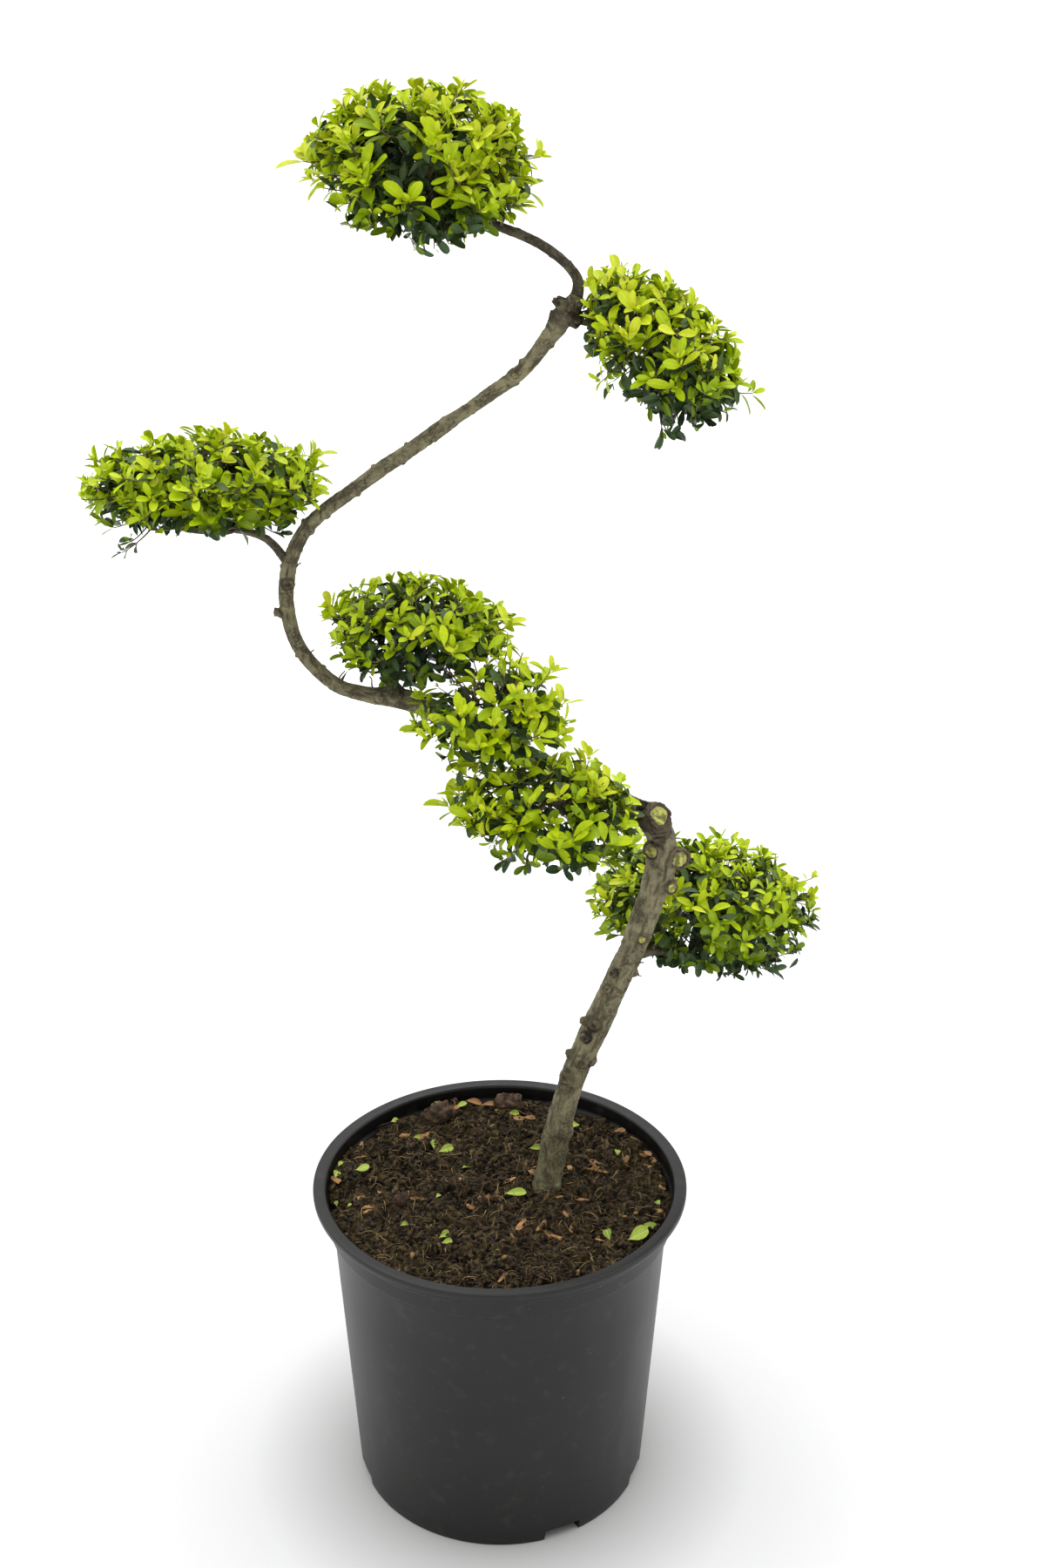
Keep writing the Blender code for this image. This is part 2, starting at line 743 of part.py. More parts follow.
def grow_leaves(name, shoots, limbs, rng):
    """Leaves round the ends of the shoots, then on the core by the golden angle, to the number."""
    cloud = CLOUDS[name]
    centre = np.array(cloud["centre"])
    placer = LeafPlacer(name, limbs, rng)
    for number, line in enumerate(shoots):
        way = unit(line[-1] - line[-2])
        outward = unit(line[-1] - centre)
        pointing = turned_aside(way, END_LEAF_SPREAD, number)
        placer.add(line[-1] - way * SHOOT_RADII[1], pointing, outward)
        for place in range(1, SHOOT_LEAVES):
            back = place * SHOOT_LEAF_STEP
            spread = rng.uniform(*LEAF_SPREAD)
            pointing = turned_aside(way, spread, GOLDEN * (place + number))
            placer.add(line[-1] - way * back, pointing, outward)
    ways = golden_ways(cloud["leaves"], rng)
    for attempt in range(LEAF_TRIES):
        for number, way in enumerate(ways):
            if len(placer.leaves) == cloud["leaves"]:
                return placer.leaves
            way = unit(way + rng.normal(0, SHOOT_JITTER, 3))
            root = on_skin(cloud, way[None], CORE_SHARE * ROOT_SHARE)[0]
            outward = unit(root - centre)
            spread = rng.uniform(*CORE_LEAF_SPREAD)
            placer.add(root, turned_aside(outward, spread, GOLDEN * (attempt + number)), outward)
    return placer.leaves


def core_shape(name, rng):
    """The dense inside of the cloud: a lumpy egg, drawn in where the next cloud begins."""
    cloud = CLOUDS[name]
    centre = np.array(cloud["centre"])
    shape = bmesh.new()
    bmesh.ops.create_icosphere(shape, subdivisions=2, radius=1.0)
    ways = np.array([vert.co for vert in shape.verts])
    lumps = CORE_SHARE * (1 + rng.uniform(-CORE_LUMPS, CORE_LUMPS, (len(ways), 1)))
    places = on_skin(cloud, unit(ways), lumps)
    for _ in range(CORE_PULLS):
        tight = strayed(name, places)
        places[tight] = centre + (places[tight] - centre) * CORE_PULL
    for vert, place in zip(shape.verts, places):
        vert.co = place
    return shape


def clear_core(core, limbs):
    """Cuts the core clear of each limb that comes near it, and of the space past the limb's tip."""
    corners = np.array([vert.co for vert in core.data.vertices])
    cutters = []
    for name, (spots, headings, radii) in limbs.items():
        if room_to_limbs(corners, {name: (spots, headings, radii)}).min() > CORE_NEAR:
            continue
        past = np.vstack([spots, spots[-1] + headings[-1] * CORE_ROOM])
        ways = np.vstack([headings, headings[-1:]])
        shape = tube(past, ways, np.append(radii, radii[-1]) + CORE_ROOM, BOUGH_SIDES)
        cutters.append(add_object(f"{core.name}_clears_{name}", shape))
        boolean(core, "DIFFERENCE", cutters[-1])
    return cutters


def make_cloud(name, seed, limbs, boughs):
    rng = np.random.default_rng(seed)
    everything = {**limbs, **boughs}
    cloud = add_object(name, core_shape(name, rng), FOLIAGE, smooth=False)
    cutters = clear_core(cloud, everything)
    pieces = bpy.data.collections.new(f"{name}_pieces")
    bpy.context.scene.collection.children.link(pieces)
    stem, headings, radii = stem_stations(name, limbs, boughs)
    add_object(f"{name}_stem", tube(stem, headings, radii, STEM_SIDES), None, pieces)
    shoots = grow_shoots(name, stem, everything, rng)
    for number, line in enumerate(shoots):
        ways = unit(np.gradient(line, axis=0))
        radii = np.linspace(*SHOOT_RADII, len(line))
        add_object(f"{name}_shoot_{number}", tube(line, ways, radii, SHOOT_SIDES), None, pieces)
    leaves = grow_leaves(name, shoots, everything, rng)
    for number, points in enumerate(leaves):
        add_object(f"{name}_leaf_{number}", leaf_shape(points), None, pieces)
    join_pieces(cloud, pieces, "MANIFOLD")
    for cutter in cutters:
        bpy.data.objects.remove(cutter, do_unlink=True)
    print(name, len(shoots), "shoots", len(leaves), "leaves", len(cloud.data.polygons), "faces")


clear_scene()
make_pot()
make_soil()
trunk = make_trunk()
branches = make_boughs(trunk)
for order, cloud_name in enumerate(CLOUDS):
    make_cloud(cloud_name, FIRST_SEED + order, trunk, branches)
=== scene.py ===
import math

import bpy
import numpy as np
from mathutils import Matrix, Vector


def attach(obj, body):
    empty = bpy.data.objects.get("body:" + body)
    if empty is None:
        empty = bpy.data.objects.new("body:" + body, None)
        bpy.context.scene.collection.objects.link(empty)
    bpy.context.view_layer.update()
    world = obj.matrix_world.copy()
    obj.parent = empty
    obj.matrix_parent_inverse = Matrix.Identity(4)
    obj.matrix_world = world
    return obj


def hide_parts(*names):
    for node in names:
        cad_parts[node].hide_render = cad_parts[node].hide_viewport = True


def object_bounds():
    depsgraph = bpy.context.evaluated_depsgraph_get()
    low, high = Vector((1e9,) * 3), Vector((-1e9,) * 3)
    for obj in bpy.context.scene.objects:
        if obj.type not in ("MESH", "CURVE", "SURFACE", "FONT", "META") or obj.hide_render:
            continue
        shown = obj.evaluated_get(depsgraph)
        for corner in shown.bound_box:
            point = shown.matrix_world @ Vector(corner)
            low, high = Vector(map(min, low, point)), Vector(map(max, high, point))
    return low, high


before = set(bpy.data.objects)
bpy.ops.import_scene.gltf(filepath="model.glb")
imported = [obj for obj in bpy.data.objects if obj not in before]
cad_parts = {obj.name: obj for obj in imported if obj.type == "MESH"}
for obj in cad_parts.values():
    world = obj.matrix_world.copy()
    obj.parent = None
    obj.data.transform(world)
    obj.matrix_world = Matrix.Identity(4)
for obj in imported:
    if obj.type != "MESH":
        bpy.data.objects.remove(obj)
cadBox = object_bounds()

# Potted Japanese holly, cloud pruned. The pot, the soil, the bark and every leaf are surfaces
# worked out from the numbers in the dictionaries below, in metres. The plant grows by the same
# rule as its plain solids, carried on to twigs, buds and single leaves.

goldenTurn = math.pi * (3 - math.sqrt(5))


# Each row divided by its own length
def unitRows(rows):
    return rows / np.maximum(np.linalg.norm(rows, axis=-1, keepdims=True), 1e-9)


# A number from 0 to 1 for each whole-number cell: its coordinates times primes, bits mixed twice
def cellValue(cells, seed):
    primes = (73856093, 19349663, 83492791)
    mixed = np.full(cells.shape[:-1], seed * 374761393, np.int64)
    for axis in range(cells.shape[-1]):
        mixed = mixed ^ (cells[..., axis] * primes[axis])
    mixed = ((mixed & 0x7FFFFFFF) * 1274126177) & 0x7FFFFFFF
    mixed = (mixed ^ (mixed >> 15)) * 668265263 & 0x7FFFFFFF
    return ((mixed >> 7) & 0xFFFF) / 65535


# Smooth noise from -1 to 1: corner values of the cell blended by 3t^2 - 2t^3 along each axis
def latticeNoise(points, seed):
    base = np.floor(points).astype(np.int64)
    part = points - base
    ease = part * part * (3 - 2 * part)
    total = np.zeros(points.shape[:-1])
    for corner in range(2 ** points.shape[-1]):
        step = np.array([(corner >> axis) & 1 for axis in range(points.shape[-1])])
        weight = np.prod(np.where(step == 1, ease, 1 - ease), axis=-1)
        total += weight * (cellValue(base + step, seed) * 2 - 1)
    return total


# Octaves of that noise, each twice as fine and half as strong as the last
def layeredNoise(points, octaves, seed):
    return sum(latticeNoise(points * 2**n, seed + n) / 2**n for n in range(octaves))


# A Catmull-Rom curve through the rows: 0.5 (2b + (c-a)t + (2a-5b+4c-d)t^2 + (3b-a-3c+d)t^3)
def smoothLine(rows, perSpan=24):
    rows = np.array(rows, float)
    padded = np.vstack([2 * rows[0] - rows[1], rows, 2 * rows[-1] - rows[-2]])
    a, b, c, d = (padded[n : n + len(rows) - 1, None] for n in range(4))
    t = np.linspace(0, 1, perSpan, endpoint=False)[None, :, None]
    spans = 2 * b + (c - a) * t + (2 * a - 5 * b + 4 * c - d) * t**2
    spans = 0.5 * (spans + (3 * b - a - 3 * c + d) * t**3)
    return np.vstack([spans.reshape(-1, rows.shape[1]), rows[-1:]])


# Even steps along a line of x, y, z, radius rows: places, headings, radii and lengths so far
def evenSteps(line, step):
    gone = np.concatenate([[0], np.cumsum(np.linalg.norm(np.diff(line[:, :3], axis=0), axis=1))])
    at = np.linspace(0, gone[-1], max(4, round(gone[-1] / step) + 1))
    rows = np.column_stack([np.interp(at, gone, column) for column in line.T])
    ways = unitRows(np.gradient(rows[:, :3], axis=0))
    return rows[:, :3], ways, rows[:, 3], at


# Two directions across each heading, the first as near to the guide as square allows
def acrossAndUp(ways, guide):
    across = unitRows(guide - ways * (ways * guide).sum(-1, keepdims=True))
    return across, np.cross(ways, across)


# Quads between neighbours of a grid of rows by columns, closed round its columns where wrapped
def gridQuads(rows, columns, wrapped):
    row, column = np.meshgrid(np.arange(rows - 1), np.arange(columns - (not wrapped)), indexing="ij")
    after = (column + 1) % columns
    here, below = row * columns, (row + 1) * columns
    corners = (here + column, here + after, below + after, below + column)
    return np.stack(corners, -1).reshape(-1, 4)


# The same faces repeated for a number of equal blocks of points
def repeatFaces(faces, blockSize, blocks):
    return (faces[None] + (np.arange(blocks) * blockSize)[:, None, None]).reshape(-1, faces.shape[1])


# Faces of equal tubes made of rings of points: quads between the rings, then the first and last
# ring as flat ends
def tubeFaces(steps, sides, count=1):
    ring = np.arange(sides)[None]
    parts = (gridQuads(steps, sides, True), ring[:, ::-1], ring + (steps - 1) * sides)
    return [repeatFaces(part, steps * sides, count) for part in parts]


# Rows of heading: cos turn, sin turn, rise
def headingRows(turn, rise):
    return np.stack([np.cos(turn), np.sin(turn), rise + 0 * turn], -1)


# A mesh object from points and arrays of faces, with its finish, riding on the plant when a slot is given
def addPiece(name, points, faceArrays, finish, slot=None, replaced=(), uv=None, values=None, sharp=None):
    mesh = bpy.data.meshes.new(name)
    loops = np.concatenate([faces.reshape(-1) for faces in faceArrays]).astype(np.int32)
    sizes = np.concatenate([np.full(len(faces), faces.shape[1]) for faces in faceArrays])
    starts = np.concatenate([[0], np.cumsum(sizes)[:-1]]).astype(np.int32)
    mesh.vertices.add(len(points))
    mesh.vertices.foreach_set("co", np.asarray(points, np.float32).reshape(-1))
    mesh.loops.add(len(loops))
    mesh.polygons.add(len(sizes))
    mesh.polygons.foreach_set("loop_start", starts)
    mesh.polygons.foreach_set("vertices", loops)
    mesh.update(calc_edges=True)
    if uv is not None:
        layer = mesh.uv_layers.new(name="surface")
        layer.uv.foreach_set("vector", np.asarray(uv, np.float32)[loops].reshape(-1))
    for label, numbers in (values or {}).items():
        field = mesh.attributes.new(label, "FLOAT", "POINT")
        field.data.foreach_set("value", np.asarray(numbers, np.float32).reshape(-1))
    mesh.shade_smooth()
    if sharp:
        mesh.set_sharp_from_angle(angle=math.radians(sharp))
    mesh.materials.append(finish)
    piece = bpy.data.objects.new(name, mesh)
    bpy.context.scene.collection.objects.link(piece)
    if slot:
        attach(piece, "root")
    if replaced:
        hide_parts(*replaced)
    return piece


# A material's node tree, built one node at a time; a socket given as an input is linked
class Finish:
    def __init__(self, name, roughness, gloss):
        self.material = bpy.data.materials.new(name)
        self.material.use_nodes = True
        self.tree = self.material.node_tree
        self.shader = self.tree.nodes["Principled BSDF"]
        self.shader.inputs["Roughness"].default_value = roughness
        self.shader.inputs["Specular IOR Level"].default_value = gloss
        self.place = self.node("ShaderNodeTexCoord").outputs["Object"]

    def node(self, kind, inputs=None, **settings):
        made = self.tree.nodes.new(kind)
        for key, value in settings.items():
            setattr(made, key, value)
        for key, value in (inputs or {}).items():
            self.put(made.inputs[key], value)
        return made

    def put(self, socket, value):
        if isinstance(value, bpy.types.NodeSocket):
            self.tree.links.new(value, socket)
        else:
            socket.default_value = value

    def noise(self, scale, detail=3.0, stretch=None, distortion=0.0):
        where = self.place
        if stretch:
            where = self.node("ShaderNodeMapping", {"Vector": self.place, "Scale": stretch}).outputs[0]
        fields = {"Vector": where, "Scale": scale, "Detail": detail, "Distortion": distortion}
        return self.node("ShaderNodeTexNoise", fields).outputs["Fac"]

    def value(self, name):
        return self.node("ShaderNodeAttribute", attribute_name=name).outputs["Fac"]

    def spread(self, amount, low, high):
        made = self.node("ShaderNodeMapRange", {"Value": amount, "From Min": low, "From Max": high})
        return made.outputs[0]

    def sums(self, kind, first, second):
        return self.node("ShaderNodeMath", {0: first, 1: second}, operation=kind).outputs[0]

    def blend(self, amount, first, second):
        fields = {0: amount, 6: opaque(first), 7: opaque(second)}
        return self.node("ShaderNodeMix", fields, data_type="RGBA").outputs[2]

    def overlay(self, amount, share, colour, tint):
        return self.blend(self.sums("MULTIPLY", amount, share), colour, tint)

    def bump(self, height, strength, distance, below=None):
        fields = {"Height": height, "Strength": strength, "Distance": distance}
        if below is not None:
            fields["Normal"] = below
        return self.node("ShaderNodeBump", fields).outputs[0]

    def wear(self, colour=None, roughness=None, normal=None):
        for name, value in (("Base Color", colour), ("Roughness", roughness), ("Normal", normal)):
            if value is not None:
                self.put(self.shader.inputs[name], value)
        return self.material


# A colour as red, green, blue and 1; a socket stays as it is
def opaque(colour):
    return colour if isinstance(colour, bpy.types.NodeSocket) else (*colour, 1.0)


# Camera, floor, sky and lamps
view = {
    "place": (0.023, -1.644, 1.465),
    "downDegrees": 22.78,
    "lens": 44.0,
    "sensor": 36.0,
    "floorHalf": 600.0,
    # painted contact shadow under and round the pot's foot
    "paintedContactShadow": (0.46, 0.46, 0.455),
    # painted shade: the floor is darker near the pot and paler far off
    "floorNearShade": (0.68, 0.68, 0.685),
    "floorFar": (0.90, 0.90, 0.905),
    "contactShadowReach": (0.15, 0.27),
    "floorShadeReach": (0.35, 1.6),
    "speckle": (0.5, 0.5, 0.5),
    "speckleShare": 0.04,
    "skyColour": (1.0, 1.0, 1.0),
    "skyHeights": (0.10, 0.75),
    "skyStrengths": (1.0, 0.42),
    # lamps: place they shine from, width in degrees, strength
    "lamps": {
        "sun": ((-0.10, 0.25, 1.7), 90.0, 3.35),
        "left": ((-1.6, 0.50, 0.55), 70.0, 0.5),
        "right": ((1.6, 0.55, 0.60), 70.0, 0.8),
    },
}


# Floor colour by the distance from the pot's middle, painted shade: a painted contact shadow under and round
# the pot, the floor darker near it and paler far off;
# a lamp that shines from (x, y, z) leans atan2(sqrt(x^2 + y^2), z) off the vertical and is turned atan2(y, x)
# + a quarter round it
def makeStudio():
    camera = bpy.data.cameras.new("viewCamera")
    camera.lens = view["lens"]
    camera.sensor_fit = "VERTICAL"
    camera.sensor_height = view["sensor"]
    camera.clip_end = 2000
    holder = bpy.data.objects.new("viewCamera", camera)
    holder.location = view["place"]
    holder.rotation_euler = (math.radians(90 - view["downDegrees"]), 0, 0)
    bpy.context.scene.collection.objects.link(holder)
    bpy.context.scene.camera = holder
    bpy.context.scene.view_settings.view_transform = "Standard"

    floorFinish = Finish("floorCloth", 0.9, 0.2)
    grains = floorFinish.spread(floorFinish.noise(240, 2), 0.3, 0.7)
    away = floorFinish.node("ShaderNodeVectorMath", {0: floorFinish.place}, operation="LENGTH")
    away = away.outputs["Value"]
    # painted shade: darker near the pot, paler towards the far floor
    near = floorFinish.spread(away, *view["floorShadeReach"])
    shadedCloth = floorFinish.blend(near, view["floorNearShade"], view["floorFar"])
    # painted contact shadow, blended in close to the pot's middle
    shadedCloth = floorFinish.blend(floorFinish.spread(away, *view["contactShadowReach"]), view["paintedContactShadow"], shadedCloth)
    floorFinish.wear(floorFinish.overlay(grains, view["speckleShare"], shadedCloth, view["speckle"]))
    half = view["floorHalf"]
    corners = [(-half, -half, 0), (half, -half, 0), (half, half, 0), (-half, half, 0)]
    floor = addPiece("studioFloor", corners, [np.array([[0, 1, 2, 3]])], floorFinish.material)

    world = bpy.data.worlds.new("studioSky")
    world.use_nodes = True
    nodes, links = world.node_tree.nodes, world.node_tree.links
    sky = nodes["Background"]
    sky.inputs["Color"].default_value = (*view["skyColour"], 1)
    # strength by the height of the direction looked in, from the horizon's to the zenith's
    split, fall = nodes.new("ShaderNodeSeparateXYZ"), nodes.new("ShaderNodeMapRange")
    links.new(nodes.new("ShaderNodeTexCoord").outputs["Generated"], split.inputs[0])
    links.new(split.outputs[2], fall.inputs[0])
    for place, part in enumerate((*view["skyHeights"], *view["skyStrengths"])):
        fall.inputs[place + 1].default_value = part
    links.new(fall.outputs[0], sky.inputs["Strength"])
    bpy.context.scene.world = world

    for name, ((x, y, z), degrees, strength) in view["lamps"].items():
        lamp = bpy.data.lights.new(name, "SUN")
        lamp.angle = math.radians(degrees)
        lamp.energy = strength
        stand = bpy.data.objects.new(name, lamp)
        stand.rotation_euler = (math.atan2(math.hypot(x, y), z), 0, math.atan2(y, x) + math.pi / 2)
        bpy.context.scene.collection.objects.link(stand)


# Pot
pot = {
    "height": 0.340,
    "rimRadius": 0.190,
    "rimWidth": 0.013,
    "lipDepth": 0.0085,
    "baseRadius": 0.151,
    "wall": 0.003,
    "wallTopRadius": 0.1707,
    "ledges": ((0.300, 0.1757), (0.320, 0.180)),
    "ledgeRise": 0.0015,
    "wallHeights": (0.0125, 0.0134, 0.0160, 0.030, 0.080, 0.160, 0.240),
    "cornerReach": 0.0022,
    "notchDegrees": (19, 115, 161, 199, 295, 341),
    "notchWidth": 0.038,
    "notchHeight": 0.012,
    "notchDepth": 0.016,
    "columns": 240,
    "warp": 0.0005,
    "poleRadius": 0.006,
    "colours": ((0.0030, 0.0026, 0.0025), (0.0055, 0.0049, 0.0047)),
    "dust": (0.08, 0.074, 0.066),
    "crumbs": (0.12, 0.10, 0.075),
}


# Each inner corner of an outline becomes (1-t)^2 before + 2t(1-t) corner + t^2 after
def roundedCorners(outline, reach, steps=4):
    outline = np.array(outline)
    corner = outline[1:-1]
    runs = np.linalg.norm(np.diff(outline, axis=0), axis=1)
    reach = np.minimum(reach, 0.45 * np.minimum(runs[:-1], runs[1:]))[:, None]
    before = corner + unitRows(outline[:-2] - corner) * reach
    after = corner + unitRows(outline[2:] - corner) * reach
    t = np.linspace(0, 1, steps)[None, :, None]
    curve = (1 - t) ** 2 * before[:, None] + 2 * t * (1 - t) * corner[:, None] + t**2 * after[:, None]
    return np.vstack([outline[:1], curve.reshape(-1, 2), outline[-1:]])


# Dark plastic in slow clouds, with dust over it, specks of soil and scuffs down the wall
def potFinish():
    plastic = Finish("potPlastic", 0.4, 0.36)
    grain = plastic.noise(900, 2)
    cloud = plastic.noise(7, 4, distortion=0.6)
    scuff = plastic.noise(26, 5, stretch=(1, 1, 0.12))
    dust = plastic.spread(plastic.noise(60, 5), 0.58, 0.78)
    colour = plastic.blend(plastic.spread(cloud, 0.35, 0.7), *pot["colours"])
    colour = plastic.overlay(dust, 0.18, colour, pot["dust"])
    crumbs = plastic.spread(plastic.noise(210, 2), 0.74, 0.79)
    colour = plastic.overlay(crumbs, 0.4, colour, pot["crumbs"])
    roughness = plastic.sums("ADD", 0.33, plastic.sums("MULTIPLY", scuff, 0.16))
    lines = plastic.bump(scuff, 0.12, 0.0006)
    return plastic.wear(colour, roughness, plastic.bump(grain, 0.16, 0.0003, lines))


# One outline of radius and height turned about the pot's axis: up the leaning wall, over the
# ledges and the lip, down the inner side to the floor; the foot's rows rise over the notches
def makePot():
    lift, radius = pot["ledgeRise"], pot["wallTopRadius"]
    rim, top, wall, base = (pot[key] for key in ("rimRadius", "height", "wall", "baseRadius"))
    under = top - pot["lipDepth"]
    lean = (radius - base) / (pot["ledges"][0][0] - lift)
    outline = [(base + lean * height, height) for height in pot["wallHeights"]]
    for height, wider in pot["ledges"]:
        outline += [(radius, height - lift), (wider, height + lift / 2)]
        radius = wider + lift / 4
    innerLip = rim - pot["rimWidth"]
    innerLedge = pot["ledges"][0][1] - wall
    innerFoot = base - wall
    outline += [
        (radius, under - 0.001),
        (rim - 0.0015, under),
        (rim, under + 0.003),
        (rim, top - 0.001),
        (rim - 0.002, top),
        (innerLip + 0.0015, top - 0.0008),
        (innerLip, top - 0.003),
        (innerLip, 0.3235),
        (innerLedge, 0.3190),
        (innerLedge, 0.3030),
        (pot["wallTopRadius"] - wall, 0.2970),
        (innerFoot, 0.019),
        (innerFoot - 0.019, 0.019),
        (innerFoot - 0.022, 0.005),
        (pot["poleRadius"], 0.005),
    ]
    side = roundedCorners(outline, pot["cornerReach"])
    uniform = np.linspace(0, math.tau, pot["columns"], endpoint=False)
    half = math.asin(pot["notchWidth"] / 2 / base)
    middles = np.radians(pot["notchDegrees"])
    edges = middles[:, None] + np.array((-half - 0.004, -half, half, half + 0.004))
    edges = np.mod(edges.ravel(), math.tau)
    apart = np.abs((uniform[:, None] - edges + math.pi) % math.tau - math.pi).min(axis=1)
    turns = np.sort(np.concatenate([uniform[apart > 0.003], edges]))
    away = np.abs((turns[:, None] - middles + math.pi) % math.tau - math.pi).min(axis=1)
    lifted = pot["notchHeight"] * (away < half + 0.002)
    inner = base - pot["notchDepth"]
    # rows of the foot: radius, whether a notch lifts it, own height
    foot = (
        (pot["poleRadius"], 0, 0),
        (0.075, 0, 0),
        (inner - 0.0005, 0, 0),
        (inner, 1, 0),
        (base - 0.003, 1, 0),
        (base - 0.0008, 1, 0.0008),
        (base, 1, 0.0036),
    )
    radii = np.concatenate([[row[0] for row in foot], side[:, 0]])
    heights = [np.maximum(lifted * notched, own) for _, notched, own in foot]
    heights = np.vstack(heights + [np.full(len(turns), z) for z in side[:, 1]])
    # the wall stands a hair out of round: r - |warp sin(2a)| towards the rim
    bulge = pot["warp"] * np.sin(2 * turns + 0.7)[None] * (heights / top) ** 2
    spread = radii[:, None] - np.abs(bulge)
    points = np.stack([spread * np.cos(turns), spread * np.sin(turns), heights], -1)
    faces = tubeFaces(*heights.shape)
    points = points.reshape(-1, 3)
    piece = addPiece("nurseryPot", points, faces, potFinish(), "pot_plastic", ("pot",), sharp=50)
    print("pot", len(piece.data.polygons), "faces")


# Soil: domes over scattered cells and layered noise on a level bed
soil = {
    "top": 0.3275,
    "radius": 0.1768,
    "cells": 236,
    "edgeFrom": 0.160,
    "edgeDrop": 0.006,
    "trunkFoot": (0.0484, 0.0083),
    "mound": (0.003, 0.035),
    "waves": ((0.0030, 0.045, 1), (0.0016, 0.016, 2)),
    "domes": ((0.0068, 0.019, 11), (0.0036, 0.0085, 17)),
    "grain": (0.0013, 0.0034, 23),
    "sunk": 0.0050,
    "colours": ((0.0032, 0.0025, 0.0019), (0.024, 0.0175, 0.0090)),
    "fleck": (0.070, 0.049, 0.024),
    "fibre": (0.190, 0.135, 0.062),
    # colour of the painted shade in the soil's hollows
    "hollow": (0.0018, 0.0014, 0.0011),
    "skirt": 0.30,
}


# Height of rounded crumbs: the greatest of h sqrt(1 - d^2/r^2) over the nine cells around
def crumbDomes(points, size, seed):
    base = np.floor(points / size).astype(np.int64)
    best = np.zeros(points.shape[:-1])
    for number in range(9):
        cell = base + np.array((number // 3 - 1, number % 3 - 1))
        spot = (cell + np.stack([cellValue(cell, seed), cellValue(cell, seed + 1)], -1)) * size
        wide = size * (0.35 + 0.6 * cellValue(cell, seed + 2))
        tall = cellValue(cell, seed + 3)
        inside = 1 - ((points - spot) ** 2).sum(-1) / wide**2
        best = np.maximum(best, tall * np.sqrt(np.maximum(inside, 0)))
    return best


# Soil height: waves and domes, each (height, width, seed), with fine grain; lower by share^2
# towards the wall and higher by exp(-(distance / width)^2) round the trunk
def soilHeight(points):
    out = np.linalg.norm(points, axis=-1)
    shift = [latticeNoise(points / 0.013, seed) for seed in (5, 6)]
    shifted = points + 0.004 * np.stack(shift, -1)
    rise = sum(tall * latticeNoise(points / wide, seed) for tall, wide, seed in soil["waves"])
    rise += sum(tall * crumbDomes(shifted, wide, seed) for tall, wide, seed in soil["domes"])
    tall, wide, seed = soil["grain"]
    rise += tall * layeredNoise(points / wide, 2, seed) - soil["sunk"]
    share = np.clip((out - soil["edgeFrom"]) / (soil["radius"] - soil["edgeFrom"]), 0, 1)
    rise -= soil["edgeDrop"] * share**2 * (1 + 0.5 * latticeNoise(points / 0.03, 41))
    near = np.linalg.norm(points - np.array(soil["trunkFoot"]), axis=-1)
    tall, wide = soil["mound"]
    rise += tall * np.exp(-((near / wide) ** 2))
    return soil["top"] + rise


# Spots on the bed raised to the soil's height and a lift more
def onSoil(spots, lift):
    return np.concatenate([spots, (soilHeight(spots) + lift)[:, None]], -1)


# Dark peat in patches, with brown flecks, straw-coloured fibres and painted shade in the hollows, where the
# bed lies below its neighbours
def peatFinish():
    peat = Finish("pottingPeat", 0.95, 0.05)
    patch = peat.spread(peat.noise(16, 4), 0.35, 0.68)
    fleck = peat.noise(150, 5, distortion=0.8)
    colour = peat.blend(patch, *soil["colours"])
    colour = peat.blend(peat.spread(fleck, 0.46, 0.66), colour, soil["fleck"])
    fibre = peat.spread(peat.noise(120, 4, stretch=(1, 0.18, 1), distortion=1.4), 0.60, 0.70)
    colour = peat.overlay(fibre, 0.75, colour, soil["fibre"])
    colour = peat.blend(peat.spread(peat.value("hollow"), 0.0, 1.0), colour, soil["hollow"])
    coarse = peat.bump(peat.noise(240, 6), 0.9, 0.0016)
    return peat.wear(colour, None, peat.bump(fleck, 0.8, 0.0012, coarse))


# A square of cells bent into a disc: x sqrt(1 - y^2/2), y sqrt(1 - x^2/2)
def makeSoil():
    count = soil["cells"]
    side = np.linspace(-1, 1, count)
    x, y = np.meshgrid(side, side, indexing="xy")
    flat = soil["radius"] * np.stack([x * np.sqrt(1 - y**2 / 2), y * np.sqrt(1 - x**2 / 2)], -1)
    height = soilHeight(flat)
    level = height
    for shift, axis in ((3, 0), (-3, 0), (3, 1), (-3, 1)):
        level = level + np.roll(height, shift, axis)
    level = level / 5
    # painted shade: darker where the soil lies below the mean of its neighbours, darkest on the skirt under
    # the edge
    hollow = np.clip((level - height) / 0.0018, 0, 1)
    # near the wall the bed follows the pot's inner side: r (1 - (1 - reach / edge) share^2)
    reach = np.interp(height, (0.3185, 0.3235), (0.1742, soil["radius"])) / soil["radius"]
    share = (np.linalg.norm(flat, axis=-1) - soil["edgeFrom"]) / (soil["radius"] - soil["edgeFrom"])
    share = np.clip(share, 0, 1)
    flat = flat * (1 - (1 - reach) * share**2)[..., None]
    points = np.concatenate([flat, height[..., None]], -1).reshape(-1, 3)
    # point numbers once round the square: along its first row, up the last column, back, down
    rim = np.concatenate([
        np.arange(count),
        np.arange(1, count) * count + count - 1,
        count * count - 1 - np.arange(1, count),
        (count - 1 - np.arange(1, count - 1)) * count,
    ])
    low = points[rim] * (0.94, 0.94, 0) + (0, 0, soil["skirt"])
    under = len(points) + np.arange(len(rim))
    skirt = np.concatenate([rim, under])[gridQuads(2, len(rim), True)]
    faces = [gridQuads(count, count, False), skirt[:, ::-1], under[None, ::-1]]
    values = {"hollow": np.concatenate([hollow.reshape(-1), np.ones(len(rim))])}
    addPiece("soilBed", np.vstack([points, low]), faces, peatFinish(), "peat", ("soil",), values=values)
    print("soil", len(points), "points")


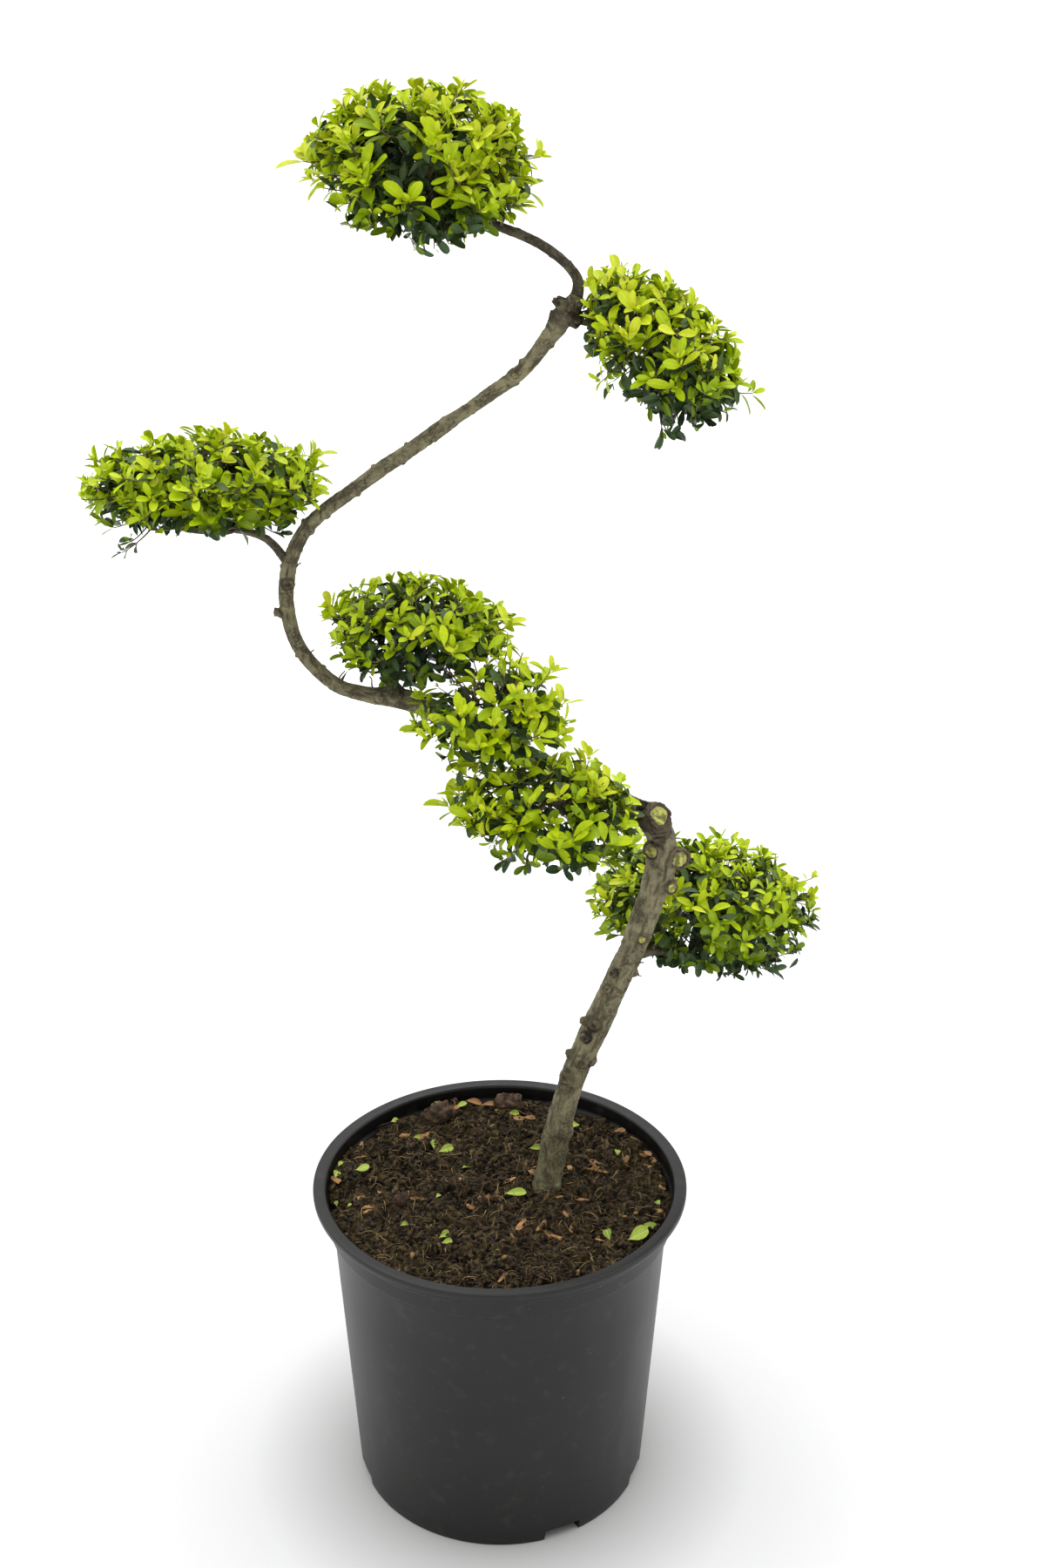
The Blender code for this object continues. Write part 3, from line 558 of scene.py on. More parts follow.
# Many tubes at once: rings of points round each station of each line, with flat ends
def tubeBundle(lines, radii, sides):
    count, steps = lines.shape[:2]
    ways = unitRows(np.gradient(lines, axis=1))
    guide = np.where(np.abs(ways.mean(axis=1))[:, None, 2:3] > 0.75, (0.0, 1.0, 0.0), (0.0, 0.0, 1.0))
    across, up = acrossAndUp(ways, guide)
    turns = np.arange(sides) * math.tau / sides
    ring = np.cos(turns)[:, None] * across[:, :, None] + np.sin(turns)[:, None] * up[:, :, None]
    points = lines[:, :, None] + radii[:, :, None, None] * ring
    return points.reshape(-1, 3), tubeFaces(steps, sides, count)


# Tubes that all taper alike, from the first radius to the last
def taperedTubes(lines, thick, sides):
    radii = np.repeat(np.linspace(*thick, lines.shape[1])[None], len(lines), 0)
    return tubeBundle(lines, radii, sides)


# Soft-edged shards: a ball of rows and columns, each coordinate to the power 0.7, squashed to
# length, width and thickness
def shardBundle(places, headings, sizes, rng, rows=5, columns=7):
    tilt = np.linspace(0.0, math.pi, rows)[:, None]
    turn = np.arange(columns) * math.tau / columns
    ball = np.stack([np.sin(tilt) * np.cos(turn), np.sin(tilt) * np.sin(turn), np.cos(tilt) + 0 * turn], -1)
    ball = np.sign(ball) * np.abs(ball) ** 0.7
    rough = 1 + rng.uniform(-0.22, 0.22, (len(places), rows, columns, 1))
    local = ball[None] * rough * sizes[:, None, None]
    local[:, 0] = local[:, 0].mean(axis=1, keepdims=True)
    local[:, -1] = local[:, -1].mean(axis=1, keepdims=True)
    across, up = acrossAndUp(headings, unitRows(rng.normal(0, 0.25, headings.shape) + (0, 0, 1)))
    axes = np.stack([headings, np.cross(across, headings), across], 1)
    points = places[:, None, None] + np.einsum("nrcj,njk->nrck", local, axes)
    inner = points[:, 1:-1].reshape(len(places), -1, 3)
    points = np.concatenate([points[:, 0, :1], inner, points[:, -1, :1]], 1)
    block = 2 + (rows - 2) * columns
    band = gridQuads(rows - 2, columns, True) + 1
    ring = np.arange(columns)
    top = np.stack([np.zeros(columns, int), 1 + ring, 1 + (ring + 1) % columns], 1)
    start = 1 + (rows - 3) * columns
    bottom = np.stack([np.full(columns, block - 1), start + (ring + 1) % columns, start + ring], 1)
    faces = [repeatFaces(band[:, ::-1], block, len(places))]
    faces += [repeatFaces(top, block, len(places)), repeatFaces(bottom, block, len(places))]
    return points.reshape(-1, 3), faces


# Two colours mixed by noise, roughened by finer noise
def flatFinish(name, first, second, roughness, scale=90.0, rough=0.5):
    plain = Finish(name, roughness, 0.3)
    colour = plain.blend(plain.spread(plain.noise(scale, 4), 0.35, 0.65), first, second)
    return plain.wear(colour, None, plain.bump(plain.noise(scale * 5, 4), rough, 0.0006))


# Spots spread evenly over a disc: distance from its middle = radius sqrt(share)
def discSpots(count, radius, rng):
    turn, out = rng.uniform(0, math.tau, count), radius * np.sqrt(rng.uniform(0, 1, count))
    return np.stack([out * np.cos(turn), out * np.sin(turn)], -1)


# Litter on the soil. Strands: count, radius, two colours. Grains: count, least and greatest half
# sizes, two colours. Clods: x, y, three half sizes, turn in degrees
litter = {
    "strands": {
        "strawStrands": (216, 0.00026, (0.26, 0.17, 0.06), (0.46, 0.33, 0.14)),
        "rootStrands": (1300, 0.00027, (0.035, 0.024, 0.012), (0.190, 0.125, 0.055)),
    },
    "strandReach": 0.168,
    "strandLimit": 0.1735,
    "strandLengths": (0.005, 0.026),
    "grains": {
        "peatCrumbs": (
            1500, (0.0008, 0.0007, 0.0006), (0.0034, 0.0026, 0.0020),
            (0.004, 0.003, 0.0025), (0.046, 0.031, 0.017),
        ),
        "barkChips": (
            46, (0.0035, 0.0014, 0.0006), (0.0100, 0.0034, 0.0013),
            (0.110, 0.055, 0.020), (0.40, 0.22, 0.085),
        ),
    },
    "grainReach": 0.169,
    "clods": (
        (0.0086, 0.158, 0.015, 0.012, 0.009, 10),
        (-0.068, 0.128, 0.017, 0.011, 0.008, 40),
        (-0.10, -0.03, 0.008, 0.006, 0.005, 80),
    ),
    "clodColours": ((0.016, 0.010, 0.007), (0.110, 0.066, 0.036)),
    "seed": 31,
}
# Bark chips seen one by one: x, y, half length, half width, half thickness, turn in degrees
chipSpots = np.array((
    (0.083, -0.0163, 0.0105, 0.0034, 0.0012, -12),
    (-0.0296, -0.0298, 0.0060, 0.0040, 0.0012, -60),
    (-0.0106, -0.0087, 0.0120, 0.0024, 0.0010, 50),
    (0.0213, -0.0620, 0.0100, 0.0032, 0.0011, 62),
    (0.0420, -0.0649, 0.0095, 0.0022, 0.0010, 60),
    (-0.0968, 0.0966, 0.0150, 0.0040, 0.0016, -22),
    (-0.0817, 0.0899, 0.0070, 0.0040, 0.0012, -70),
    (-0.0468, 0.1500, 0.0110, 0.0032, 0.0012, 50),
    (0.1502, 0.0636, 0.0060, 0.0040, 0.0012, -45),
    (0.1274, 0.1033, 0.0055, 0.0035, 0.0012, 20),
    (0.1590, 0.0560, 0.0060, 0.0035, 0.0012, -70),
    (0.0986, 0.0284, 0.0150, 0.0016, 0.0009, -25),
    (0.0192, 0.1288, 0.0075, 0.0070, 0.0012, -30),
))


# Strands are lines of seven stations, angle = turn + bend t, arched by 1 - 4t^2; grains and clods
# are shards laid on the soil
def makeLitter():
    rng = np.random.default_rng(litter["seed"])
    t = np.linspace(-0.5, 0.5, 7)
    for name, (count, thin, *colours) in litter["strands"].items():
        spots = discSpots(count, litter["strandReach"], rng)
        length = rng.uniform(*litter["strandLengths"], count) * rng.uniform(0.4, 1.0, count)
        turn = rng.uniform(0, math.tau, count)
        angle = turn[:, None] + rng.normal(0, 0.6, count)[:, None] * t
        along = length[:, None, None] * t[:, None]
        flat = spots[:, None] + along * np.stack([np.cos(angle), np.sin(angle)], -1)
        inside = np.linalg.norm(flat, axis=-1).max(axis=1) < litter["strandLimit"]
        flat, length = flat[inside], length[inside]
        arch = rng.uniform(0.0, 0.30, (len(flat), 1)) * length[:, None] * (1 - 4 * t**2)
        slope = rng.normal(0, 0.10, (len(flat), 1)) * length[:, None] * t
        ground = soilHeight(flat)
        level = ground.mean(axis=1, keepdims=True)
        height = np.maximum(level, ground - 0.0006) + 0.0005 + arch + slope
        lines = np.concatenate([flat, height[..., None]], -1)
        radii = thin * rng.uniform(0.6, 1.5, (len(flat), 1)) * (1 - 0.5 * np.abs(t) * 2)
        points, faces = tubeBundle(lines, radii, 4)
        addPiece(name, points, faces, flatFinish(name + "Finish", *colours, 0.85), "peat")
    for name, (count, low, high, *colours) in litter["grains"].items():
        placed = chipSpots if name == "barkChips" else chipSpots[:0]
        spots = np.vstack([discSpots(count, litter["grainReach"], rng), placed[:, :2]])
        sizes = rng.uniform(low, high, (len(spots), 3))
        turn = rng.uniform(0, math.tau, len(spots))
        headings = unitRows(headingRows(turn, rng.normal(0, 0.22, len(spots))))
        sizes[count:] = placed[:, 2:5]
        headings[count:] = headingRows(np.radians(placed[:, 5]), 0.08)
        places = onSoil(spots, sizes[:, 2] * 0.6)
        points, faces = shardBundle(places, unitRows(headings), sizes, rng)
        addPiece(name, points, faces, flatFinish(name + "Finish", *colours, 0.9), "peat", sharp=50)
    # dark clods as lumpy balls
    clods = np.array(litter["clods"])
    headings = headingRows(np.radians(clods[:, 5]), 0)
    points, faces = shardBundle(onSoil(clods[:, :2], 0.004), headings, clods[:, 2:5], rng, 15, 24)
    points += 0.0016 * layeredNoise(points / 0.0035, 3, 9)[:, None] * (0.6, 0.6, 0.8)
    finish = flatFinish("clodFinish", *litter["clodColours"], 0.95, 140, 0.9)
    addPiece("peatClods", points, faces, finish, "peat")
    print("litter done")


# Trunk: the same centre line as the plain solids, from under the soil to the last burl
trunk = {
    "line": (
        (0.0478, 0.0080, 0.318, 0.0168),
        (0.0486, 0.0084, 0.3288, 0.0156),
        (0.0510, 0.0100, 0.346, 0.0142),
        (0.0725, 0.0115, 0.448, 0.0131),
        (0.1308, 0.0050, 0.605, 0.0130),
        (0.1545, -0.0020, 0.698, 0.0140),
        (0.1460, -0.0030, 0.7370, 0.0134),
        (0.1200, -0.0010, 0.7528, 0.0112),
        (0.0466, 0.0120, 0.7865, 0.0094),
        (-0.0329, 0.0230, 0.828, 0.0084),
        (-0.0920, 0.0290, 0.849, 0.0098),
        (-0.1190, 0.0310, 0.8512, 0.0074),
        (-0.1500, 0.0320, 0.8615, 0.0070),
        (-0.1785, 0.0310, 0.891, 0.0068),
        (-0.1909, 0.0285, 0.929, 0.0068),
        (-0.1890, 0.0260, 0.972, 0.0070),
        (-0.1700, 0.0220, 1.013, 0.0066),
        (-0.1298, 0.0170, 1.0470, 0.0066),
        (-0.0512, 0.0100, 1.1033, 0.0064),
        (0.0170, 0.0040, 1.1518, 0.0063),
        (0.0451, 0.0000, 1.1846, 0.0074),
        (0.0650, -0.0020, 1.2120, 0.0084),
        (0.0690, -0.0020, 1.2200, 0.0060),
    ),
    "splitRow": 10,
    "sides": 72,
    "step": 0.0019,
    "lumps": 0.0013,
    "grain": 0.00045,
    "wrinkles": 0.00022,
    "pits": 0.45,
    "lumpCells": (1.3, 1.3, 34),
    "grainCell": (0.0034, 70),
    "creaseCell": (0.0040, 95),
    "wrinkleCells": (0.9, 0.9, 420),
    "endFade": 0.010,
    "roughFrom": 0.011,
    "upperSides": 56,
    "upperStep": 0.0017,
    "lowerWrinkles": 0.00042,
    "upperGrain": 0.00026,
    "boughSides": 24,
    "boughStep": 0.0018,
    "boughGrain": 0.00018,
    "boughWrinkles": 0.00012,
    "softJoin": 0.0012,
    "burlGrowths": 26,
    "burlMiddle": (0.0575, -0.0020, 1.2045),
    "burlHalf": (0.0062, 0.0062, 0.0085),
    "scarStep": 0.021,
    "seed": 7,
}

# Growths that swell the bark: centre, radius and how dark the bark is there
knots = np.array((
    (0.0640, 0.0040, 0.395, 0.0105, 0.1),
    (0.0624, 0.0060, 0.411, 0.0090, 0.3),
    (0.0670, 0.0025, 0.458, 0.0076, 0.9),
    (0.0922, 0.0040, 0.474, 0.0052, 1.0),
    (0.0816, 0.0010, 0.477, 0.0066, 1.0),
    (0.0690, 0.0060, 0.482, 0.0046, 0.8),
    (0.0850, -0.0010, 0.505, 0.0052, 1.1),
    (0.0835, 0.0040, 0.520, 0.0046, 0.8),
    (0.0935, -0.0005, 0.520, 0.0066, 1.1),
    (0.1110, 0.0035, 0.529, 0.0050, 0.7),
    (0.1090, 0.0050, 0.547, 0.0085, 0.3),
    (0.1060, -0.0030, 0.560, 0.0040, 0.9),
    (0.1110, -0.0040, 0.578, 0.0046, 0.9),
    (0.1325, 0.0030, 0.574, 0.0036, 0.5),
    (0.1310, -0.0010, 0.587, 0.0040, 0.6),
    (0.1150, 0.0180, 0.556, 0.0050, 0.5),
    (0.0900, 0.0200, 0.500, 0.0052, 0.5),
    (0.1375, -0.0030, 0.617, 0.0066, 0.9),
    (0.1380, -0.0010, 0.6450, 0.0108, 0.75),
    (0.1520, 0.0060, 0.668, 0.0120, 0.2),
    (0.1630, -0.0030, 0.673, 0.0072, 0.6),
    (0.1640, -0.0040, 0.701, 0.0092, 0.6),
    (0.1450, -0.0080, 0.713, 0.0078, 0.6),
    (0.1470, -0.0050, 0.747, 0.0118, 0.6),
    (0.1320, -0.0040, 0.7475, 0.0112, 1.1),
    (-0.0950, 0.0240, 0.853, 0.0072, 0.7),
    (-0.1080, 0.0240, 0.851, 0.0052, 0.6),
    (-0.1990, 0.0250, 0.933, 0.0042, 0.8),
    (-0.1890, 0.0205, 0.962, 0.0050, 0.9),
    (-0.1670, 0.0190, 1.012, 0.0050, 0.5),
    (0.0150, 0.0010, 1.154, 0.0055, 0.6),
    (0.0540, -0.0050, 1.199, 0.0088, 0.8),
    (0.0610, 0.0040, 1.204, 0.0088, 0.8),
    (0.0640, -0.0060, 1.207, 0.0062, 1.0),
    (0.0700, 0.0000, 1.202, 0.0058, 1.0),
    (0.0500, 0.0050, 1.193, 0.0080, 0.7),
    (0.0560, -0.0080, 1.213, 0.0052, 1.0),
))

# Boughs: rows of x, y, z, radius; each runs on into its cloud
boughs = {
    "top": (
        (0.0672, -0.0020, 1.2120, 0.0060),
        (0.0692, 0.0000, 1.2325, 0.0048),
        (0.0545, 0.0040, 1.2496, 0.0043),
        (0.0293, 0.0100, 1.2648, 0.0040),
        (-0.0061, 0.0150, 1.2777, 0.0038),
        (-0.0360, 0.0150, 1.2900, 0.0032),
        (-0.0600, 0.0150, 1.3120, 0.0022),
    ),
    "right": (
        (0.0540, 0.0000, 1.1940, 0.0034),
        (0.0700, -0.0030, 1.1990, 0.0028),
        (0.0900, -0.0060, 1.1940, 0.0026),
        (0.1160, -0.0060, 1.1860, 0.0025),
        (0.1480, -0.0050, 1.1660, 0.0020),
    ),
    "left": (
        (-0.1870, 0.0260, 0.9780, 0.0048),
        (-0.2050, 0.0200, 1.0030, 0.0038),
        (-0.2300, 0.0140, 1.0140, 0.0034),
        (-0.2420, 0.0120, 1.0130, 0.0036),
        (-0.2720, 0.0070, 1.0160, 0.0030),
        (-0.3030, 0.0030, 1.0280, 0.0020),
    ),
    "middle": (
        (-0.0840, 0.0290, 0.8460, 0.0070),
        (-0.0990, 0.0285, 0.8640, 0.0056),
        (-0.1040, 0.0280, 0.8760, 0.0048),
        (-0.1000, 0.0270, 0.8900, 0.0040),
        (-0.0800, 0.0260, 0.9100, 0.0024),
    ),
    "low": (
        (0.1280, 0.0060, 0.5910, 0.0054),
        (0.1550, 0.0220, 0.5880, 0.0044),
        (0.1830, 0.0450, 0.5740, 0.0041),
        (0.2030, 0.0680, 0.5720, 0.0034),
        (0.2120, 0.0860, 0.5940, 0.0022),
    ),
    "slopeUpper": (
        (-0.0329, 0.0200, 0.8280, 0.0040),
        (-0.0260, -0.0020, 0.8400, 0.0028),
        (-0.0180, -0.0260, 0.8480, 0.0018),
    ),
    "slopeLower": (
        (0.0466, 0.0080, 0.7860, 0.0042),
        (0.0455, -0.0120, 0.7770, 0.0028),
        (0.0440, -0.0320, 0.7680, 0.0018),
    ),
}
# The two boughs of the slope have no node of their own in the plain solids
boughNodes = {name: f"bough_{name}" for name in boughs if not name.startswith("slope")}
# Barks: material, light, dark and mossy colour, and the height where the moss ends
barks = {
    "old": ("oldBark", (0.134, 0.120, 0.070), (0.022, 0.016, 0.010), (0.066, 0.066, 0.028), 0.62),
    "young": ("youngBark", (0.060, 0.052, 0.033), (0.018, 0.014, 0.010), (0.055, 0.052, 0.030), 0.2),
    "callus": ("callusBark", (0.092, 0.074, 0.046), (0.022, 0.015, 0.011), (0.07, 0.07, 0.035), 0.0),
    "twig": ("twigBark", (0.110, 0.088, 0.052), (0.030, 0.022, 0.015), (0.10, 0.12, 0.03), 0.1),
    "dry": ("dryTwig", (0.085, 0.062, 0.046), (0.025, 0.018, 0.013), (0.06, 0.06, 0.03), 0.0),
}


# One bark surface round a line. Radius = the line's own + lumps + grain along the limb + wrinkles
# across it; where a ray from the centre line meets a growth's ball further out, it goes there.
def barkSurface(line, sides, step, growths, coarse, wrinkled, seed):
    places, ways, radii, gone = evenSteps(line, step)
    across, up = acrossAndUp(ways, np.array((0.0, 1.0, 0.0)))
    turns = np.arange(sides) * math.tau / sides
    out = np.cos(turns)[:, None] * across[:, None] + np.sin(turns)[:, None] * up[:, None]
    travel, girth = gone[:, None], radii[:, None, None]
    around = np.stack([np.cos(turns) + 0 * travel, np.sin(turns) + 0 * travel, 0 * turns + travel], -1)

    # the same unit cylinder in cells of one width round the limb, so many to the metre along it
    def inCells(width, perMetre):
        return around * np.concatenate([girth / width, girth / width, 0 * girth + perMetre], -1)

    lumps = latticeNoise(around * trunk["lumpCells"], seed)
    grain = layeredNoise(inCells(*trunk["grainCell"]), 3, seed + 3)
    crease = 1 - np.abs(layeredNoise(inCells(*trunk["creaseCell"]), 2, seed + 9))
    wrinkle = layeredNoise(around * trunk["wrinkleCells"], 2, seed + 13)
    # thin limbs are smoother
    scale = np.minimum(1, radii / trunk["roughFrom"])[:, None]
    relief = trunk["lumps"] * lumps * scale + coarse * scale * grain
    relief += wrinkled * wrinkle - 1.1 * coarse * np.maximum(crease - 0.72, 0) / 0.28
    # no relief at either end, so that two surfaces meet there on the same radius
    relief *= np.minimum(1, np.minimum(gone, gone[-1] - gone) / trunk["endFade"])[:, None]
    reach = radii[:, None] + relief
    # painted shade: darker along the sunk crease lines
    dark = np.clip((crease - 0.78) / 0.22, 0, 1) * 0.8
    for ball in growths:
        offset = ball[:3] - places
        along = (out * offset[:, None]).sum(-1)
        inside = along**2 - ((offset**2).sum(-1)[:, None] - ball[3] ** 2)
        past = np.maximum(ball[3] ** 2 - inside, 0)
        beside = np.abs((offset * ways).sum(-1))[:, None] < ball[3]
        swell = np.where((inside > 0) & beside & (along > 0), along + np.sqrt(np.maximum(inside, 0)), 0)
        swell = np.minimum(swell, reach + 1.3 * ball[3])
        # old scars are pitted in the middle, by pits r exp(-(distance from the middle / 0.4 r)^2)
        pit = trunk["pits"] * ball[3] * (ball[4] > 0.55) * np.exp(-past / (0.4 * ball[3]) ** 2)
        knobbly = swell * (1 + 0.06 * grain) - pit
        soft = trunk["softJoin"]
        mixing = np.clip(0.5 + 0.5 * (knobbly - reach) / soft, 0, 1)
        raised = reach + (knobbly - reach) * mixing + soft * mixing * (1 - mixing)
        reach = np.where(swell > 0, raised, reach)
        surface = places[:, None] + out * reach[..., None]
        away = np.linalg.norm(surface - ball[:3], axis=-1)
        # darkest in the pit and in the crease round the growth, lighter on its shoulder: the growth's own dark
        # bark with painted shade in the pit and the crease
        shoulder = 1 - 0.45 * np.exp(-((np.sqrt(past) / ball[3] - 0.62) ** 2) / 0.05)
        fade = np.exp(-((np.maximum(away - ball[3], 0) / (0.45 * ball[3] + 0.001)) ** 2))
        dark = np.maximum(dark, ball[4] * shoulder * (1 + 0.35 * grain) * fade)
    surface = places[:, None] + out * reach[..., None]
    # dark places are flaky: they rise and fall a little more
    reach = reach + dark * scale * (0.0009 * layeredNoise(surface / 0.0026, 2, seed + 21) + 0.0003)
    points = places[:, None] + out * reach[..., None]
    uv = np.stack([turns / math.tau + 0 * travel, 0 * turns + travel], -1)
    # the field "crease" is low where the grain sinks the bark; the finish paints shade there
    fields = {"dark": dark, "crease": np.clip(0.5 + grain * 0.5, 0, 1)}
    return points.reshape(-1, 3), tubeFaces(len(places), sides), fields, uv.reshape(-1, 2)


# Leaf scars on alternate sides of the thin limbs, every few centimetres: small balls whose
# middles lie a quarter of their radius under the bark
def scarBalls(line, start, rng):
    places, ways, radii, gone = evenSteps(line, 0.002)
    at = np.arange(start, gone[-1] - 0.01, trunk["scarStep"])
    at = np.clip(at + rng.normal(0, 0.004, len(at)), 0, gone[-1])
    pick = np.searchsorted(gone, at).clip(0, len(gone) - 1)
    across, up = acrossAndUp(ways[pick], np.array((0.0, 1.0, 0.0)))
    side = np.where(np.arange(len(at)) % 2 == 0, 1, -1) * math.pi / 2 + rng.normal(0, 0.55, len(at))
    out = np.cos(side)[:, None] * across + np.sin(side)[:, None] * up
    size = rng.uniform(0.0018, 0.0032, len(at))
    centre = places[pick] + out * (radii[pick] - 0.25 * size)[:, None]
    return np.column_stack([centre, size, rng.uniform(0.4, 0.9, len(at))])


# Bark fields of pieces that have no relief of their own
def woodyFields(count, dark):
    return {"dark": np.full(count, dark), "crease": np.ones(count)}


# Light bark in patches, moss on its lower part, pale flakes, dark blots; darker where the field "crease" is
# low, painted shade in the sunk grain; brown where the field "dark" plus noise passes 1.0, dark cracks where
# it passes 1.48; that field holds the dark bark of knots and painted shade in cracks, pits and creases
def barkFinish(name, light, dark, green, mossTop):
    light, dark = np.array(light), np.array(dark)
    bark = Finish(name, 0.85, 0.22)
    patch = bark.spread(bark.noise(52, 5, distortion=0.7), 0.41, 0.60)
    fine = bark.noise(430, 5)
    colour = bark.blend(patch, 0.40 * light, 1.68 * light)
    colour = bark.blend(bark.spread(fine, 0.40, 0.68), colour, 1.35 * light)
    height = bark.node("ShaderNodeSeparateXYZ", {0: bark.place}).outputs[2]
    fall = {0: height, 1: mossTop - 0.30, 2: mossTop, 3: 0.85, 4: 0.0}
    mossy = bark.node("ShaderNodeMapRange", fall).outputs[0]
    mossy = bark.sums("MULTIPLY", mossy, bark.spread(bark.noise(22, 4), 0.30, 0.58))
    colour = bark.blend(mossy, colour, green)
    flake = bark.spread(bark.noise(330, 6, stretch=(1, 1, 1.5), distortion=0.5), 0.50, 0.70)
    colour = bark.overlay(flake, 0.36, colour, 2.4 * light)
    blot = bark.spread(bark.noise(95, 4, stretch=(1, 1, 0.6), distortion=0.9), 0.56, 0.66)
    colour = bark.overlay(blot, 0.72, colour, 1.8 * dark)
    # painted shade: darker where the field "crease" is low, in the sunk grain
    grooveShade = bark.spread(bark.value("crease"), 0.05, 0.42)
    colour = bark.blend(grooveShade, 0.30 * light + dark, colour)
    # the field "dark" carries painted shade of cracks, pits and creases as well as the dark bark of knots
    for scale, detail, bent, share, low, high, tint in (
        (60, 5, 0.8, 1.1, 1.00, 1.55, 0.16 * light + 1.2 * dark),
        (240, 4, 1.2, 1.3, 1.48, 1.78, 0.7 * dark),
    ):
        wearAndShade, rough = bark.value("dark"), bark.noise(scale, detail, distortion=bent)
        wearAndShade = bark.sums("ADD", wearAndShade, bark.sums("MULTIPLY", rough, share))
        colour = bark.blend(bark.spread(wearAndShade, low, high), colour, tint)
    rings = bark.bump(bark.noise(260, 4, distortion=1.0), 0.60, 0.0012)
    return bark.wear(colour, None, bark.bump(fine, 0.7, 0.0008, rings))


# The trunk in two surfaces that meet on the same radius, then the boughs, each with its growths
def makeLimbs():
    rng = np.random.default_rng(trunk["seed"])
    perSpan = 24
    line = smoothLine(trunk["line"], perSpan)
    cut = trunk["splitRow"] * perSpan
    lower, upper = line[: cut + 1], line[cut:]
    old, young = barkFinish(*barks["old"]), barkFinish(*barks["young"])
    nearLower, nearUpper = knots[knots[:, 2] < 0.86], knots[knots[:, 2] >= 0.80]
    nearUpper = np.vstack([nearUpper, scarBalls(upper, 0.02, rng)])
    # the burl under the two top boughs: a heap of small growths in an egg round its middle
    heap = rng.normal(0, 1, (trunk["burlGrowths"], 3)).clip(-1.6, 1.6)
    heap = heap * trunk["burlHalf"] + trunk["burlMiddle"]
    size, dark = rng.uniform(0.0024, 0.0058, len(heap)), rng.uniform(0.35, 0.95, len(heap))
    nearUpper = np.vstack([nearUpper, np.column_stack([heap, size, dark])])
    nearLower = np.vstack([nearLower, scarBalls(smoothLine(trunk["line"][7:11]), 0.03, rng)])
    for name, part, balls, keys, seed, nodes in (
        ("trunkBark", lower, nearLower, ("sides", "step", "grain", "lowerWrinkles"), 50,
         ("trunk_lower", "trunk_middle")),
        ("upperBark", upper, nearUpper, ("upperSides", "upperStep", "upperGrain", "wrinkles"), 90,
         ("trunk_bend", "trunk_upper")),
    ):
        sides, step, coarse, wrinkled = (trunk[key] for key in keys)
        points, faces, fields, uv = barkSurface(part, sides, step, balls, coarse, wrinkled, seed)
        addPiece(name, points, faces, old, "old_bark", nodes, uv, fields)
    sides, step, coarse, wrinkled = (trunk["bough" + key] for key in ("Sides", "Step", "Grain", "Wrinkles"))
    for number, (name, rows) in enumerate(boughs.items()):
        curve = smoothLine(rows)
        balls = scarBalls(curve, 0.014, rng)
        balls[:, 3] *= 0.55
        seed = 120 + 5 * number
        points, faces, fields, uv = barkSurface(curve, sides, step, balls, coarse, wrinkled, seed)
        replaced = (boughNodes[name],) if name in boughNodes else ()
        addPiece(name + "Bough", points, faces, young, "young_bark", replaced, uv, fields)
    print("limbs done")


# Pruning cuts: centre of the sawn face, way it points, its radius
cuts = {
    "leader": ((0.1502, -0.0200, 0.7520), (0.56, -0.62, 0.52), 0.0092),
    "right": ((0.1708, -0.0145, 0.7035), (0.55, -0.80, 0.16), 0.0079),
    "left": ((0.1425, -0.0172, 0.7135), (-0.66, -0.72, 0.12), 0.0066),
    "below": ((0.1648, -0.0122, 0.6725), (0.55, -0.83, 0.05), 0.0048),
    "scar": ((0.1374, -0.0106, 0.6170), (0.10, -1.00, 0.05), 0.0034),
    "fork": ((-0.2025, 0.0238, 0.9345), (-0.95, -0.25, 0.15), 0.0030),
    "bend": ((-0.1893, 0.0184, 0.9620), (0.05, -1.00, 0.05), 0.0034),
    "slim": ((0.0167, -0.0036, 1.1533), (0.10, -1.00, -0.1), 0.0024),
}
# Callus stations: height along the cut's way and distance out, both in radii of the cut
cutShape = {
    "stations": (
        (-2.2, 1.25), (-1.3, 1.28), (-0.7, 1.36), (-0.30, 1.42), (-0.06, 1.38),
        (0.08, 1.26), (0.08, 1.12), (-0.02, 1.03), (-0.10, 0.99), (-0.60, 0.96),
    ),
    "sides": 40,
    "faceRings": 9,
    "wood": ((0.440, 0.450, 0.100), (0.130, 0.125, 0.036)),
    "woodRim": (0.46, 0.40, 0.19),
    "woodCrack": (0.06, 0.045, 0.02),
    "upright": (0.0, 0.2, 1.0),
}
# Curled dead bark under the leader's cut: distance out in radii, from and to in degrees, half
# thickness, height along the cut's way in radii
curls = np.array((
    (1.55, 195, 330, 0.0030, -0.35),
    (1.95, 190, 310, 0.0027, -0.75),
    (2.35, 200, 292, 0.0024, -1.10),
    (1.50, 20, 70, 0.0016, -0.30),
))


# Sawn wood: two tones, a paler rim by the field "ring" and short cracks
def sawnFinish():
    wood = Finish("sawnWood", 0.8, 0.3)
    rings = wood.value("ring")
    stain = wood.spread(wood.noise(150, 4, distortion=0.6), 0.42, 0.60)
    colour = wood.blend(stain, *cutShape["wood"])
    colour = wood.blend(wood.spread(rings, 0.84, 1.0), colour, cutShape["woodRim"])
    crack = wood.spread(wood.noise(300, 3, distortion=1.5), 0.60, 0.68)
    colour = wood.overlay(crack, 0.55, colour, cutShape["woodCrack"])
    return wood.wear(colour, None, wood.bump(wood.noise(500, 4), 0.7, 0.0008))


